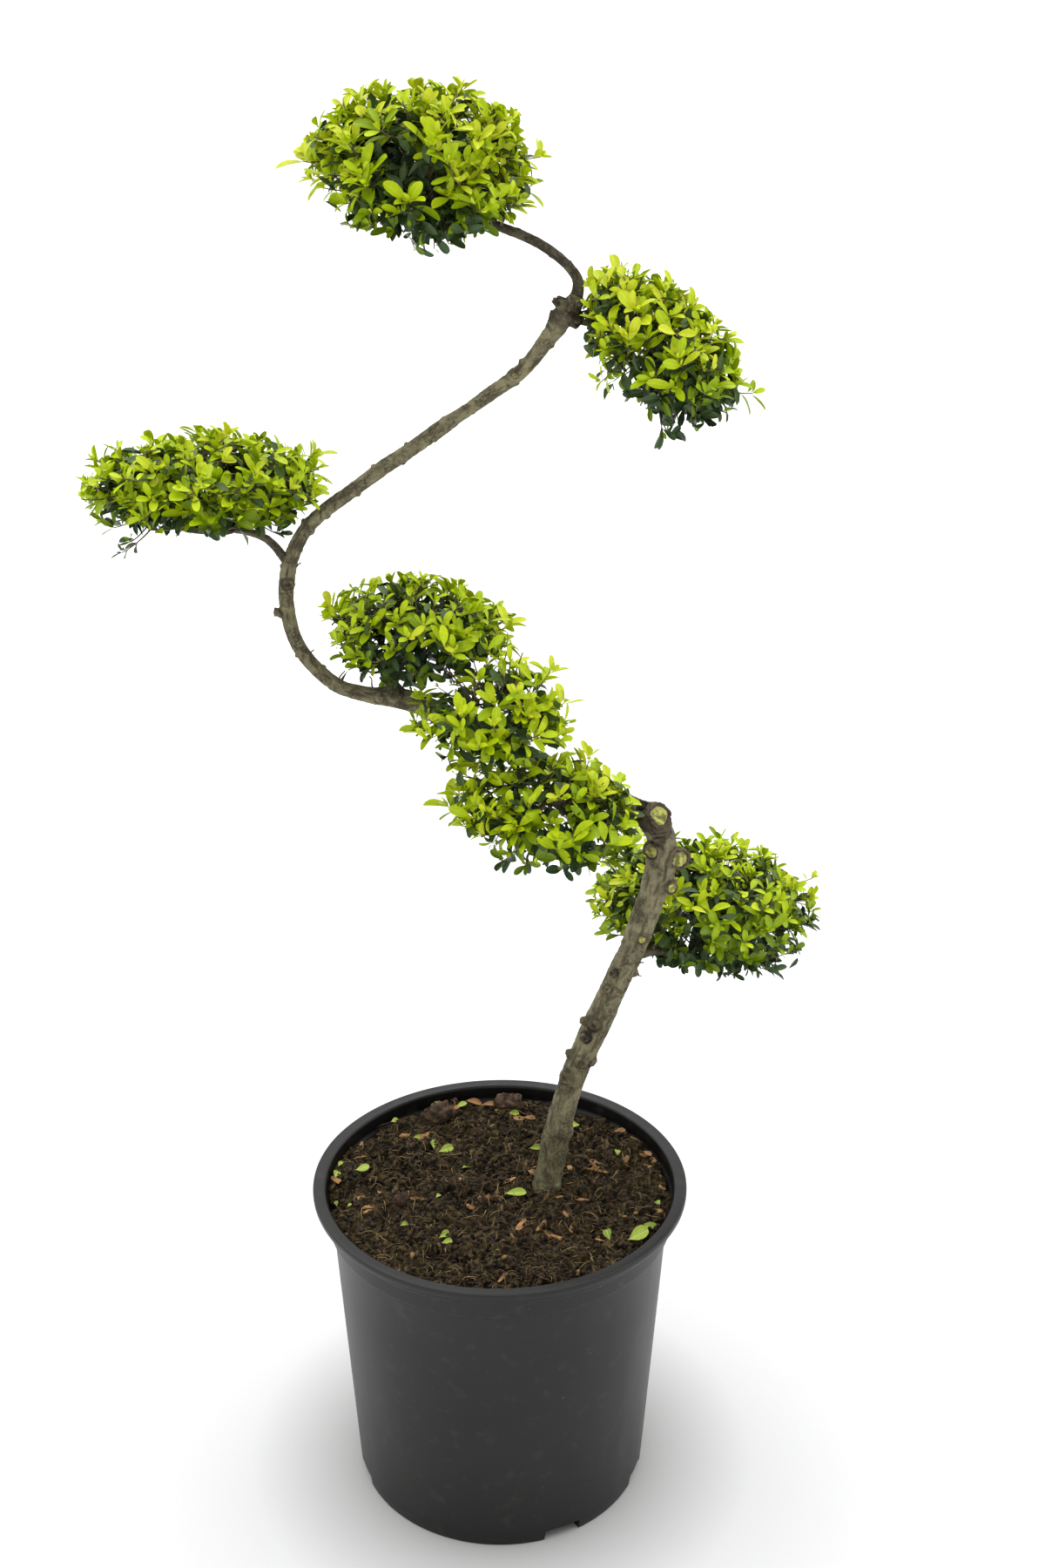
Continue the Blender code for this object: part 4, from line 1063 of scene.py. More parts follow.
# A cut: a callus roll turned about its own axis, then a flat sawn face of rings inside it
def makeCuts():
    sides, rounds = cutShape["sides"], cutShape["faceRings"] + 1
    turns = np.arange(sides) * math.tau / sides
    stations = np.array(cutShape["stations"])
    callusPoints, facePoints, ringValues = [], [], []
    for number, (centre, way, radius) in enumerate(cuts.values()):
        way = unitRows(np.array(way, float))
        across, up = acrossAndUp(way, np.array(cutShape["upright"]))
        out = np.cos(turns)[:, None] * across + np.sin(turns)[:, None] * up
        circle = headingRows(turns, number * 3.1)
        oval = 1 + 0.12 * latticeNoise(circle * 0.9, 5) + 0.08 * latticeNoise(circle * 2.2, 6)
        oval = oval - 0.07 * np.cos(2 * turns)
        stacked = np.repeat(circle[None], len(stations), 0) * 2.6 + stations[:, :1, None] * 1.7
        wobble = 1 + 0.16 * layeredNoise(stacked, 3, 8)
        wide = radius * stations[:, 1:2] * oval * np.where(stations[:, 1:2] > 1.02, wobble, 1)
        uneven = 0.20 * layeredNoise(circle * 2.4, 3, 12) * (stations[:, 1:2] > 1.0)
        high = radius * (stations[:, :1] + uneven)
        points = np.array(centre) + out[None] * wide[..., None] + way * high[..., None]
        callusPoints.append(points.reshape(-1, 3))
        shares = np.concatenate([[1.0], np.linspace(1.0, 0.06, rounds - 1)])[:, None]
        flat = np.stack([shares * np.cos(turns), shares * np.sin(turns), 0 * shares * turns + number], -1)
        sunk = radius * (-0.10 + 0.05 * latticeNoise(flat * 3, 3))
        sunk[0] = -0.4 * radius
        disc = out[None] * (radius * 0.99 * oval * shares)[..., None] + way * sunk[..., None]
        facePoints.append((np.array(centre) + disc).reshape(-1, 3))
        ringValues.append(np.repeat(shares[:, 0], sides))
    callus = barkFinish(*barks["callus"])
    # painted shade: the roll is darker where it lies within 1.3 radii, at its foot and on its inner lip,
    # lighter on its crest
    dark = np.repeat(0.25 + 0.5 * (stations[:, 1] < 1.3), sides)
    values = woodyFields(len(dark) * len(cuts), np.tile(dark, len(cuts)))
    faces = tubeFaces(len(stations), sides, len(cuts))
    addPiece("cutCallus", np.vstack(callusPoints), faces, callus, "old_bark", values=values)
    values = {"ring": np.concatenate(ringValues)}
    faces = tubeFaces(rounds, sides, len(cuts))
    addPiece("sawnFaces", np.vstack(facePoints), faces, sawnFinish(), "old_bark", values=values)
    # curls are arcs of a ring, each a thin tube half sunk in the limb
    centre, way, radius = (np.array(part, float) for part in cuts["leader"])
    way = unitRows(way)
    across, up = acrossAndUp(way, np.array(cutShape["upright"]))
    sweep = np.linspace(0, 1, 26)
    angle = np.radians(curls[:, 1:2] + (curls[:, 2:3] - curls[:, 1:2]) * sweep)
    wide = radius * curls[:, :1] * (1 + 0.05 * np.sin(angle * 5))
    lines = centre + wide[..., None] * (np.cos(angle)[..., None] * up + np.sin(angle)[..., None] * across)
    lines = lines + way * (radius * curls[:, 4:5] + 0.0008 * np.sin(9 * sweep + curls[:, :1] * 7))[..., None]
    thick = curls[:, 3:4] * np.sin(math.pi * np.clip(sweep, 0.02, 0.98)) ** 0.5
    points, faces = tubeBundle(lines, thick, 10)
    points += 0.0004 * latticeNoise(points / 0.0022, 4)[:, None]
    addPiece("barkCurls", points, faces, callus, "old_bark", values=woodyFields(len(points), 0.75))
    print("cuts done")


# Clouds of foliage, in the spaces of the plain solids. "half": across, deep, above, below; "older" ages all
# leaves, "shade" is the height under which they darken faster, older leaves low down together with painted
# shade on the cloud's underside. Sprays are the shoots that stand out most against the sky, by the place of
# their tip.
clouds = {
    "top": {
        "node": "cloud_top", "centre": (-0.058, 0.015, 1.321),
        "half": (0.107, 0.095, 0.073, 0.069), "tilt": 4,
        "shoots": 18, "tips": 305, "inner": 1500, "leaf": 0.98, "older": -0.20, "shade": -0.16,
        "sprays": (
            (-0.158, 0.015, 1.326), (-0.150, 0.000, 1.312), (-0.026, 0.012, 1.384), (0.038, 0.010, 1.330),
            (0.018, 0.010, 1.292), (-0.105, 0.005, 1.272), (0.003, 0.02, 1.362),
        ),
    },
    "right": {
        "node": "cloud_right", "centre": (0.1415, -0.005, 1.175),
        "half": (0.091, 0.073, 0.056, 0.059), "tilt": 44,
        "shoots": 13, "tips": 165, "inner": 900, "leaf": 0.98, "older": -0.13, "shade": -0.16,
        "sprays": (
            (0.101, -0.008, 1.238), (0.082, -0.005, 1.228), (0.219, -0.012, 1.140), (0.149, -0.012, 1.102),
            (0.206, -0.010, 1.148), (0.196, -0.005, 1.184), (0.143, -0.015, 1.108), (0.170, -0.01, 1.116),
            (0.090, -0.012, 1.150),
        ),
    },
    "left": {
        "node": "cloud_left", "centre": (-0.256, 0.005, 1.055),
        "half": (0.120, 0.092, 0.053, 0.044), "tilt": 0,
        "shoots": 15, "tips": 215, "inner": 1100, "leaf": 1.0, "older": -0.03, "shade": -0.16,
        "sprays": (
            (-0.348, 0.000, 1.080), (-0.358, 0.000, 1.056), (-0.346, -0.005, 1.026), (-0.330, -0.008, 0.999),
            (-0.319, -0.020, 1.012), (-0.335, -0.010, 1.022), (-0.191, 0.000, 1.013), (-0.157, 0.000, 1.086),
            (-0.232, 0.000, 1.101), (-0.160, 0.005, 1.082), (-0.190, 0.000, 1.020),
        ),
    },
    "middle": {
        "node": "cloud_middle", "centre": (-0.071, 0.026, 0.914),
        "half": (0.096, 0.081, 0.054, 0.055), "tilt": 4,
        "shoots": 12, "tips": 170, "inner": 850, "leaf": 1.0, "older": 0.02, "shade": -0.16,
        "sprays": (
            (-0.153, 0.020, 0.940), (-0.156, 0.020, 0.930), (-0.067, 0.024, 0.964), (0.010, 0.020, 0.921),
            (-0.130, 0.010, 0.900), (0.008, 0.015, 0.905),
        ),
    },
    "slopeUpper": {
        "node": "cloud_slope_upper", "centre": (-0.005, -0.030, 0.851),
        "half": (0.079, 0.060, 0.062, 0.058), "tilt": 14,
        "shoots": 11, "tips": 100, "inner": 420, "leaf": 1.06, "older": -0.02, "shade": -0.16,
        "sprays": (
            (-0.024, -0.048, 0.822), (0.048, -0.032, 0.898), (0.060, -0.030, 0.866), (0.058, -0.035, 0.838),
            (-0.071, -0.032, 0.838), (-0.066, -0.030, 0.852), (0.012, -0.030, 0.905),
        ),
    },
    "slopeLower": {
        "node": "cloud_slope_lower", "centre": (0.047, -0.036, 0.763),
        "half": (0.106, 0.062, 0.064, 0.062), "tilt": 16,
        "shoots": 12, "tips": 128, "inner": 600, "leaf": 1.14, "older": -0.07, "shade": -0.16,
        "sprays": (
            (-0.045, -0.038, 0.768), (-0.033, -0.036, 0.756), (-0.019, -0.050, 0.816), (-0.032, -0.035, 0.813),
            (0.084, -0.038, 0.818), (0.104, -0.040, 0.792), (0.122, -0.038, 0.766), (0.006, -0.042, 0.716),
            (0.026, -0.044, 0.710),
        ),
    },
    "low": {
        "node": "cloud_low", "centre": (0.2055, 0.090, 0.602),
        "half": (0.131, 0.104, 0.078, 0.068), "tilt": 9,
        "shoots": 16, "tips": 290, "inner": 1500, "leaf": 0.90, "older": 0.00, "shade": 0.24,
        "sprays": (
            (0.329, 0.088, 0.636), (0.325, 0.086, 0.618), (0.316, 0.088, 0.598), (0.220, 0.085, 0.672),
            (0.112, 0.070, 0.626), (0.100, 0.075, 0.600), (0.108, 0.080, 0.578), (0.124, 0.060, 0.646),
            (0.278, 0.085, 0.530), (0.252, 0.080, 0.538),
        ),
    },
}
growth = {
    "shootReach": (0.70, 0.86),
    "shootLift": 0.10,
    "jitter": 0.20,
    "tipReach": (0.67, 0.91),
    "roomBetween": 0.03,
    "underside": 0.55,
    "lumps": 0.085,
    "innerScatter": 0.010,
    "outside": 1.00,
    "sprayOutside": 1.55,
    "proud": (0.008, -0.004, -0.004),
    "facesPerPiece": 95000,
    "leafLength": 0.0168,
    "leafShare": 0.405,
    "seed": 400,
}
# Leaves of one spray: how far back from the tip, spread from the shoot in degrees, size, age
leafSlots = np.array((
    (0.0000, 10, 0.32, 0.42),
    (0.0003, 20, 0.42, 0.34),
    (0.0012, 40, 0.78, 0.10),
    (0.0018, 46, 0.90, 0.05),
    (0.0028, 54, 1.00, 0.02),
    (0.0044, 60, 1.06, 0.00),
    (0.0068, 64, 1.08, -0.03),
    (0.0105, 68, 1.06, -0.08),
    (0.0150, 72, 1.02, -0.17),
    (0.0200, 76, 0.98, -0.29),
    (0.0255, 78, 0.95, -0.40),
))
# Half width at each share of the length, from the stalk to the blunt tip
leafOutline = np.array((
    (0.00, 0.06), (0.08, 0.07), (0.22, 0.42), (0.42, 0.82),
    (0.62, 0.99), (0.80, 0.92), (0.94, 0.60), (1.00, 0.22),
))
innerOutline = np.array(((0.00, 0.08), (0.22, 0.50), (0.55, 1.00), (0.85, 0.76), (1.00, 0.16)))


# Turn about the Y axis: x cos + z sin, y, z cos - x sin
def turnAboutY(degrees):
    cos, sin = math.cos(math.radians(degrees)), math.sin(math.radians(degrees))
    return np.array(((cos, 0, sin), (0, 1, 0), (-sin, 0, cos)))


# 0 at a cloud's centre and 1 on its skin: sqrt((x/a)^2 + (y/b)^2 + (z/c)^2) in the turned egg
def depthIn(cloud, points):
    across, deep, above, below = cloud["half"]
    local = (points - np.array(cloud["centre"])) @ turnAboutY(cloud["tilt"])
    high = np.where(local[..., 2] > 0, above, below)
    squares = (local[..., 0] / across) ** 2 + (local[..., 1] / deep) ** 2 + (local[..., 2] / high) ** 2
    return np.sqrt(squares)


# The least of that number over all other clouds
def depthInOthers(name, points):
    return np.min([depthIn(other, points) for key, other in clouds.items() if key != name], axis=0)


# The place on a cloud's skin in each direction, times the share: way x (a, b, c), turned
def onSkin(cloud, ways, share):
    across, deep, above, below = cloud["half"]
    high = np.where(ways[:, 2] > 0, above, below)
    local = np.column_stack([ways[:, 0] * across, ways[:, 1] * deep, ways[:, 2] * high])
    return np.array(cloud["centre"]) + (local * share) @ turnAboutY(cloud["tilt"]).T


# Gaps between sprays, where the dark inside shows: centre and radius
hollows = np.array((
    (-0.0790, -0.0600, 1.3330, 0.024),
    (-0.0500, -0.0650, 1.3250, 0.016),
    (-0.0319, -0.0600, 1.2900, 0.016),
    (-0.0850, -0.0500, 0.9100, 0.022),
    (0.0153, -0.0850, 0.8040, 0.018),
    (0.0540, -0.0850, 0.7780, 0.014),
    (0.1089, -0.0600, 1.1580, 0.018),
    (-0.2600, -0.0750, 1.0500, 0.015),
))


# Directions spread evenly over a ball: height 1 - 2 (n + 0.5) / count, turn n golden angles
def goldenWays(count, rng):
    number = np.arange(count) + 0.5
    height = 1 - 2 * number / count
    turn = goldenTurn * number + rng.uniform(0, math.tau)
    flat = np.sqrt(1 - height**2)
    return np.column_stack([flat * np.cos(turn), flat * np.sin(turn), height])


# Distance from each point to the nearest bark of the trunk
def roomToTrunk(points):
    line = smoothLine(trunk["line"], 6)
    shape = points.shape[:-1]
    flat = points.reshape(-1, 3)
    nearest = np.full(len(flat), np.inf)
    for start in range(0, len(flat), 20000):
        part = flat[start : start + 20000]
        gaps = np.linalg.norm(part[:, None] - line[None, :, :3], axis=2) - line[:, 3]
        nearest[start : start + 20000] = gaps.min(axis=1)
    return nearest.reshape(shape)


# A shoot that leaves low and bends up to its target: (1-t)^2 a + 2t(1-t) bend + t^2 b
def bentLines(starts, targets, lift, steps):
    length = np.linalg.norm(targets - starts, axis=1)
    bend = (starts + targets) / 2 + np.stack([0 * length, 0 * length, -lift * length], -1)
    t = np.linspace(0, 1, steps)[None, :, None]
    return (1 - t) ** 2 * starts[:, None] + 2 * t * (1 - t) * bend[:, None] + t**2 * targets[:, None]


# Directions that leave the ways by a spread: way cos(spread) + aside sin(spread), with aside
# turned round the way
def turnedAside(ways, spread, turn):
    side = unitRows(np.cross(ways, (0.3, 0.2, 1.0)))
    other = np.cross(ways, side)
    aside = side * np.cos(turn)[..., None] + other * np.sin(turn)[..., None]
    return unitRows(ways * np.cos(spread)[..., None] + aside * np.sin(spread)[..., None])


# Shoots, twigs and spray tips of one cloud, as arrays; the last tips are the named sprays
def growCloud(name, rng):
    cloud = clouds[name]
    centre = np.array(cloud["centre"])
    stem = evenSteps(smoothLine(boughs[name]), 0.006)[0]
    inside = stem[depthIn(cloud, stem) < 0.9]
    inside = inside if len(inside) > 3 else stem[-4:]
    ways = goldenWays(cloud["shoots"], rng)
    ways = unitRows(ways + rng.normal(0, growth["jitter"], ways.shape))
    targets = onSkin(cloud, ways, rng.uniform(*growth["shootReach"], (len(ways), 1)))
    near = np.linalg.norm(targets[:, None] - inside[None], axis=2).argmin(axis=1)
    shoots = bentLines(inside[np.maximum(near - 1, 0)], targets, growth["shootLift"], 9)
    sway = np.stack([latticeNoise(shoots / 0.014, 70 + axis) for axis in range(3)], -1)
    shoots += 0.0025 * sway * np.linspace(0, 1, 9)[:, None]
    # tips spread over the skin, in lumps, with fewer on the underside
    ways = goldenWays(cloud["tips"], rng)
    ways = unitRows(ways + rng.normal(0, growth["jitter"] * 0.5, ways.shape))
    ways = ways[(ways[:, 2] > -0.35) | (rng.uniform(0, 1, len(ways)) < growth["underside"])]
    share = rng.uniform(*growth["tipReach"], len(ways))
    share = share + growth["lumps"] * latticeNoise(ways * 2.3, len(name))
    tips = np.vstack([onSkin(cloud, ways, share[:, None]), np.array(cloud["sprays"])])
    tips = np.clip(tips, lowest + 0.004, highest - 0.004)
    free = np.arange(len(tips)) >= len(ways)
    nodes = np.vstack([shoots[:, 2:].reshape(-1, 3), inside])
    pulled = centre + (tips - centre) * 0.60
    start = nodes[np.linalg.norm(pulled[:, None] - nodes[None], axis=2).argmin(axis=1)]
    twigs = bentLines(start, tips, 0.14, 7)
    keep = free | (depthIn(cloud, tips) < depthInOthers(name, tips) - growth["roomBetween"])
    keep &= roomToTrunk(twigs[:, 2:]).min(axis=1) > 0.0015
    keep &= free | (np.linalg.norm(tips[:, None] - hollows[:, :3], axis=2) > hollows[:, 3]).all(axis=1)
    twigs, tips, free = twigs[keep], tips[keep], free[keep]
    # each tip points out, up and on along its twig
    out = unitRows(tips - centre)
    on = unitRows(twigs[:, -1] - twigs[:, -3])
    ahead = unitRows(0.50 * out + 0.50 * on + (0, 0, 0.75) + rng.normal(0, 0.20, out.shape))
    # youth, and with it the leaf's lightness, rises with the height in the cloud, h, and falls fast below the
    # height "shade", older leaves low down with painted shade on the underside:
    # 0.75 + 0.08 h + 1.1 min(h - shade, 0), more for the named sprays
    high = (tips[:, 2] - centre[2]) / np.where(tips[:, 2] > centre[2], *cloud["half"][2:])
    youthAndLight = 0.75 + 0.08 * high + 1.10 * np.minimum(high - cloud["shade"], 0)
    youthAndLight = youthAndLight + rng.normal(0, 0.12, len(tips)) + 0.28 * free - cloud["older"]
    return shoots, twigs, tips, ahead, youthAndLight, free


# Leaves of every spray: roots, headings, upper sides, sizes, ages, tones and which spray; the ages carry
# painted shade low in the cloud as well
def leavesOfSprays(twigs, tips, ahead, youthAndLight, rng):
    slots, shape = leafSlots[None], (len(tips), len(leafSlots))
    back = slots[..., 0] * rng.uniform(0.8, 1.2, shape)
    roots = tips[:, None] - unitRows(twigs[:, -1] - twigs[:, -3])[:, None] * back[..., None]
    turn = goldenTurn * np.arange(len(leafSlots)) + rng.uniform(0, math.tau, (len(tips), 1))
    turn = turn + rng.normal(0, 0.25, shape)
    spread = np.radians(slots[..., 1] + rng.normal(0, 9, shape))
    axis = np.repeat(ahead[:, None], len(leafSlots), 1)
    headings = turnedAside(axis, spread, turn)
    headings = unitRows(headings + (0, 0, 1) * np.where(slots[..., 1:2] > 68, -0.10, 0.12))
    upper = axis + (0, 0, 0.30) + rng.normal(0, 0.25, headings.shape)
    size = slots[..., 2] * rng.normal(1.0, 0.15, shape).clip(0.65, 1.4)
    size = size * rng.normal(1.0, 0.14, (len(tips), 1)).clip(0.7, 1.35)
    ageAndShade = youthAndLight[:, None] + slots[..., 3] + rng.normal(0, 0.08, shape)
    tone = 0.5 * rng.uniform(0, 1, (len(tips), 1)) + 0.5 * rng.uniform(0, 1, shape)
    spray = np.repeat(np.arange(len(tips))[:, None], len(leafSlots), 1)
    present = rng.uniform(0, 1, shape) < np.where(slots[..., 0] > 0.009, 0.82, 0.95)
    return [part[present] for part in (roots, headings, upper, size, ageAndShade, tone, spray)]


# Old leaves along the twigs and shoots inside, drooping a little
def innerLeaves(name, shoots, twigs, rng):
    cloud = clouds[name]
    count = cloud["inner"]
    half = count // 2
    roots = np.vstack([
        twigs[rng.integers(0, len(twigs), half), rng.integers(1, 6, half)],
        shoots[rng.integers(0, len(shoots), count - half), rng.integers(3, 9, count - half)],
    ])
    roots = roots + rng.normal(0, growth["innerScatter"], (count, 3))
    out = unitRows(roots - np.array(cloud["centre"]))
    headings = unitRows(out + rng.normal(0, 0.8, (count, 3)) + (0, 0, -0.15))
    upper = unitRows(np.array((0, 0, 1.0)) + 0.4 * out + rng.normal(0, 0.4, (count, 3)))
    # painted shade: inner leaves are lighter higher up and nearer the skin, darker low and deep in the cloud
    high = (roots[:, 2] - cloud["centre"][2]) / cloud["half"][2]
    tone = 0.30 + 0.45 * high + 0.8 * (depthIn(cloud, roots) - 0.5)
    tone = (tone + rng.normal(0, 0.15, count)).clip(0, 1)
    return roots, headings, upper, rng.uniform(0.95, 1.2, count), tone


# Blades: point = root + way L t + side W w(t) u + face (cup W w u^2 - droop L t^2 + lift L t)
def leafBlades(roots, headings, upper, size, rng, outline, columns, share=growth["leafShare"]):
    t, half = outline[:, 0][None, :, None, None], outline[:, 1][None, :, None, None]
    u = np.linspace(-1, 1, columns)[None, None, :, None]
    four = (len(size), 1, 1, 1)
    length = growth["leafLength"] * size.reshape(four)
    width = length * share / 2 * rng.normal(1.0, 0.10, four).clip(0.75, 1.25)
    way = headings[:, None, None]
    face = unitRows(upper - headings * (upper * headings).sum(-1, keepdims=True))[:, None, None]
    side = np.cross(face, way)
    cup, droop = rng.normal(0.38, 0.16, four), rng.normal(0.17, 0.11, four)
    blade = way * length * t + side * width * half * u
    blade = blade + face * (cup * width * half * u**2 - droop * length * t**2 + 0.10 * length * t)
    points = roots[:, None, None] + blade
    uv = np.stack(np.broadcast_arrays(0.5 + 0.5 * u * half, t), -1)[:, :, :, 0]
    return points, np.broadcast_to(uv, (len(size), *uv.shape[1:]))


# A leaf's tint by the field "tone", mottled, with a paler rib where |across - 0.5| is small
def leafFinish(name, first, second, vein, roughness):
    leaf = Finish(name, roughness, 0.22)
    colour = leaf.blend(leaf.value("tone"), first, second)
    mottle = leaf.spread(leaf.noise(260, 3), 0.35, 0.7)
    colour = leaf.overlay(mottle, 0.30, colour, 0.66 * np.array(first))
    where = leaf.node("ShaderNodeUVMap", uv_map="surface").outputs[0]
    across = leaf.node("ShaderNodeSeparateXYZ", {0: where}).outputs[0]
    off = leaf.sums("ABSOLUTE", leaf.sums("SUBTRACT", across, 0.5), 0.0)
    rib = leaf.node("ShaderNodeMapRange", {0: off, 1: 0.012, 2: 0.06, 3: 0.55, 4: 0.0}).outputs[0]
    colour = leaf.blend(rib, colour, vein)
    return leaf.wear(colour, None, leaf.bump(leaf.noise(420, 3), 0.18, 0.0005))


# Age bands, from the darkest: name, lowest age, two tints, rib, roughness; leaves low in a cloud fall in the
# darker bands, painted shade as well as age
leafKinds = (
    ("leavesOld", -9.0, (0.034, 0.068, 0.030), (0.072, 0.120, 0.034), (0.105, 0.150, 0.060), 0.34),
    ("leavesMature", 0.20, (0.110, 0.180, 0.006), (0.185, 0.275, 0.006), (0.230, 0.310, 0.030), 0.38),
    ("leavesFresh", 0.42, (0.225, 0.340, 0.003), (0.345, 0.475, 0.004), (0.400, 0.505, 0.030), 0.40),
    ("leavesLime", 0.66, (0.370, 0.510, 0.003), (0.540, 0.650, 0.006), (0.580, 0.670, 0.040), 0.42),
    ("leavesBud", 1.02, (0.500, 0.600, 0.010), (0.620, 0.660, 0.030), (0.680, 0.700, 0.080), 0.45),
)
berryTints = ((0.20, 0.32, 0.05), (0.30, 0.42, 0.08))
innerTints = ((0.020, 0.040, 0.015), (0.085, 0.140, 0.030), (0.100, 0.150, 0.050), 0.38)
# Places kept clear of leaves, so that the limbs show there: centre and radius
clearings = np.array((
    (-0.050, -0.040, 0.892, 0.026),
    (-0.022, -0.044, 0.877, 0.022),
    (0.112, -0.050, 0.808, 0.020),
    (0.132, -0.050, 0.790, 0.022),
    (0.150, -0.045, 0.770, 0.030),
    (0.146, -0.030, 0.735, 0.028),
    (0.056, -0.030, 1.212, 0.022),
    (0.066, -0.030, 1.236, 0.016),
    (0.158, -0.035, 0.700, 0.026),
))


# Which leaves clear the other clouds, the trunk and the box, and stay near their own skin
def leavesThatFit(name, roots, headings, size, limit):
    ends = roots + headings * (growth["leafLength"] * size)[:, None]
    own = depthIn(clouds[name], ends)
    keep = (own < limit) & ((own < depthInOthers(name, ends) + 0.05) | (limit > 1.2))
    keep &= (roomToTrunk(ends) > 0.0010) & (roomToTrunk((roots + ends) / 2) > 0.0015)
    gaps = np.linalg.norm(((roots + ends) / 2)[:, None] - clearings[:, :3], axis=2) - clearings[:, 3]
    keep &= (gaps > 0).all(axis=1)
    return keep & (ends > lowest + 0.004).all(axis=1) & (ends < highest + growth["proud"]).all(axis=1)


# Blades as pieces of limited size, each blade a grid of quads with one tone
def addLeaves(name, points, uv, tone, finish, outline, columns, nodes=()):
    quads = gridQuads(len(outline), columns, False)[:, ::-1]
    block = len(outline) * columns
    parts = max(1, math.ceil(len(points) * len(quads) / growth["facesPerPiece"]))
    for number, pick in enumerate(np.array_split(np.arange(len(points)), parts)):
        faces = [repeatFaces(quads, block, len(pick))]
        shade = {"tone": np.repeat(tone[pick], block)}
        label = f"{name}{number + 1}" if parts > 1 else name
        blades, surface = points[pick].reshape(-1, 3), uv[pick].reshape(-1, 2)
        addPiece(label, blades, faces, finish, "foliage", nodes, surface, shade)
    print(name, len(points), "leaves,", len(points) * len(quads) * 2, "triangles")


# Every cloud's shoots, sprays, inner leaves and berries, then one piece for each age band
def makeFoliage():
    nodes = tuple(cloud["node"] for cloud in clouds.values())
    outer, inner, shootLines, twigLines, berries = [], [], [], [], []
    for number, name in enumerate(clouds):
        rng = np.random.default_rng(growth["seed"] + number)
        shoots, twigs, tips, ahead, youthAndLight, free = growCloud(name, rng)
        room = np.linalg.norm(shoots[:, :, None] - clearings[:, :3], axis=3) - clearings[:, 3]
        shootLines.append(shoots[(room > -0.008).all(axis=(1, 2))])
        leaves = leavesOfSprays(twigs, tips, ahead, youthAndLight, rng)
        leaves[3] = leaves[3] * clouds[name]["leaf"]
        limit = np.where(free, growth["sprayOutside"], growth["outside"])[leaves[-1]]
        keep = leavesThatFit(name, leaves[0], leaves[1], leaves[3], limit)
        full = np.bincount(leaves[-1][keep], minlength=len(tips)) >= 4
        keep &= full[leaves[-1]]
        leaves = [part[keep] for part in leaves]
        twigs, tips = twigs[full], tips[full]
        twigLines.append(twigs)
        outer.append((*leafBlades(*leaves[:4], rng, leafOutline, 5), leaves[4], leaves[5]))
        leaves = innerLeaves(name, shoots, twigs, rng)
        keep = leavesThatFit(name, leaves[0], leaves[1], leaves[3], 0.90)
        leaves = [part[keep] for part in leaves]
        inner.append((*leafBlades(*leaves[:4], rng, innerOutline, 3), leaves[4]))
        pick = rng.choice(len(tips), max(4, len(tips) // 7), replace=False)
        below = twigs[pick, -2] + rng.normal(0, 0.003, (len(pick), 3))
        berries.append(below[roomToTrunk(below) > 0.004])
        print("cloud", name, len(tips), "sprays", len(outer[-1][0]), "leaves")
    points, uv, ageAndShade, tone = (np.concatenate(parts) for parts in zip(*outer))
    band = np.searchsorted([kind[1] for kind in leafKinds], ageAndShade, side="right") - 1
    for number, (name, _, *tints) in enumerate(leafKinds):
        mine = band == number
        finish = leafFinish(name + "Finish", *tints)
        addLeaves(name, points[mine], uv[mine], tone[mine], finish, leafOutline, 5, nodes)
    points, uv, tone = (np.concatenate(parts) for parts in zip(*inner))
    finish = leafFinish("insideFinish", *innerTints)
    addLeaves("leavesInside", points, uv, tone, finish, innerOutline, 3, nodes)
    woody = barkFinish(*barks["twig"])
    for name, lines, thick, sides in (
        ("sideShoots", np.concatenate(shootLines), (0.0017, 0.0008), 7),
        ("fineTwigs", np.concatenate(twigLines), (0.0009, 0.00045), 5),
    ):
        points, faces = taperedTubes(lines, thick, sides)
        addPiece(name, points, faces, woody, "young_bark", values=woodyFields(len(points), 0.3))
    places = np.concatenate(berries)
    rng = np.random.default_rng(growth["seed"] + 90)
    size = np.repeat(rng.uniform(0.0013, 0.0021, (len(places), 1)), 3, 1)
    points, faces = shardBundle(places, unitRows(rng.normal(0, 1, places.shape)), size, rng, 6, 8)
    green = flatFinish("berryFinish", *berryTints, 0.4, 60, 0.1)
    addPiece("greenBerries", points, faces, green, "foliage")


# Bare twigs: rows of start and end
bareTwigs = np.array((
    ((0.004, -0.030, 0.872), (0.008, -0.032, 0.914)),
    ((0.012, -0.030, 0.872), (0.022, -0.032, 0.914)),
    ((0.018, -0.028, 0.874), (0.028, -0.032, 0.898)),
    ((-0.022, -0.026, 0.846), (-0.052, -0.030, 0.866)),
    ((-0.018, -0.026, 0.862), (-0.048, -0.034, 0.904)),
    ((-0.012, -0.026, 0.866), (-0.020, -0.032, 0.910)),
    ((-0.183, 0.0240, 0.975), (-0.1765, 0.0200, 0.9815)),
    ((-0.1785, 0.0330, 0.8850), (-0.1700, 0.0290, 0.8960)),
    ((-0.1480, 0.0300, 0.8660), (-0.1420, 0.0280, 0.8760)),
    ((-0.1150, 0.0280, 0.8570), (-0.1180, 0.0250, 0.8720)),
    ((0.0720, 0.0000, 1.2060), (0.0900, -0.0060, 1.2120)),
    ((0.1330, -0.0040, 0.5880), (0.1410, -0.0060, 0.5910)),
    ((0.1330, 0.0020, 0.5740), (0.1385, 0.0000, 0.5725)),
))
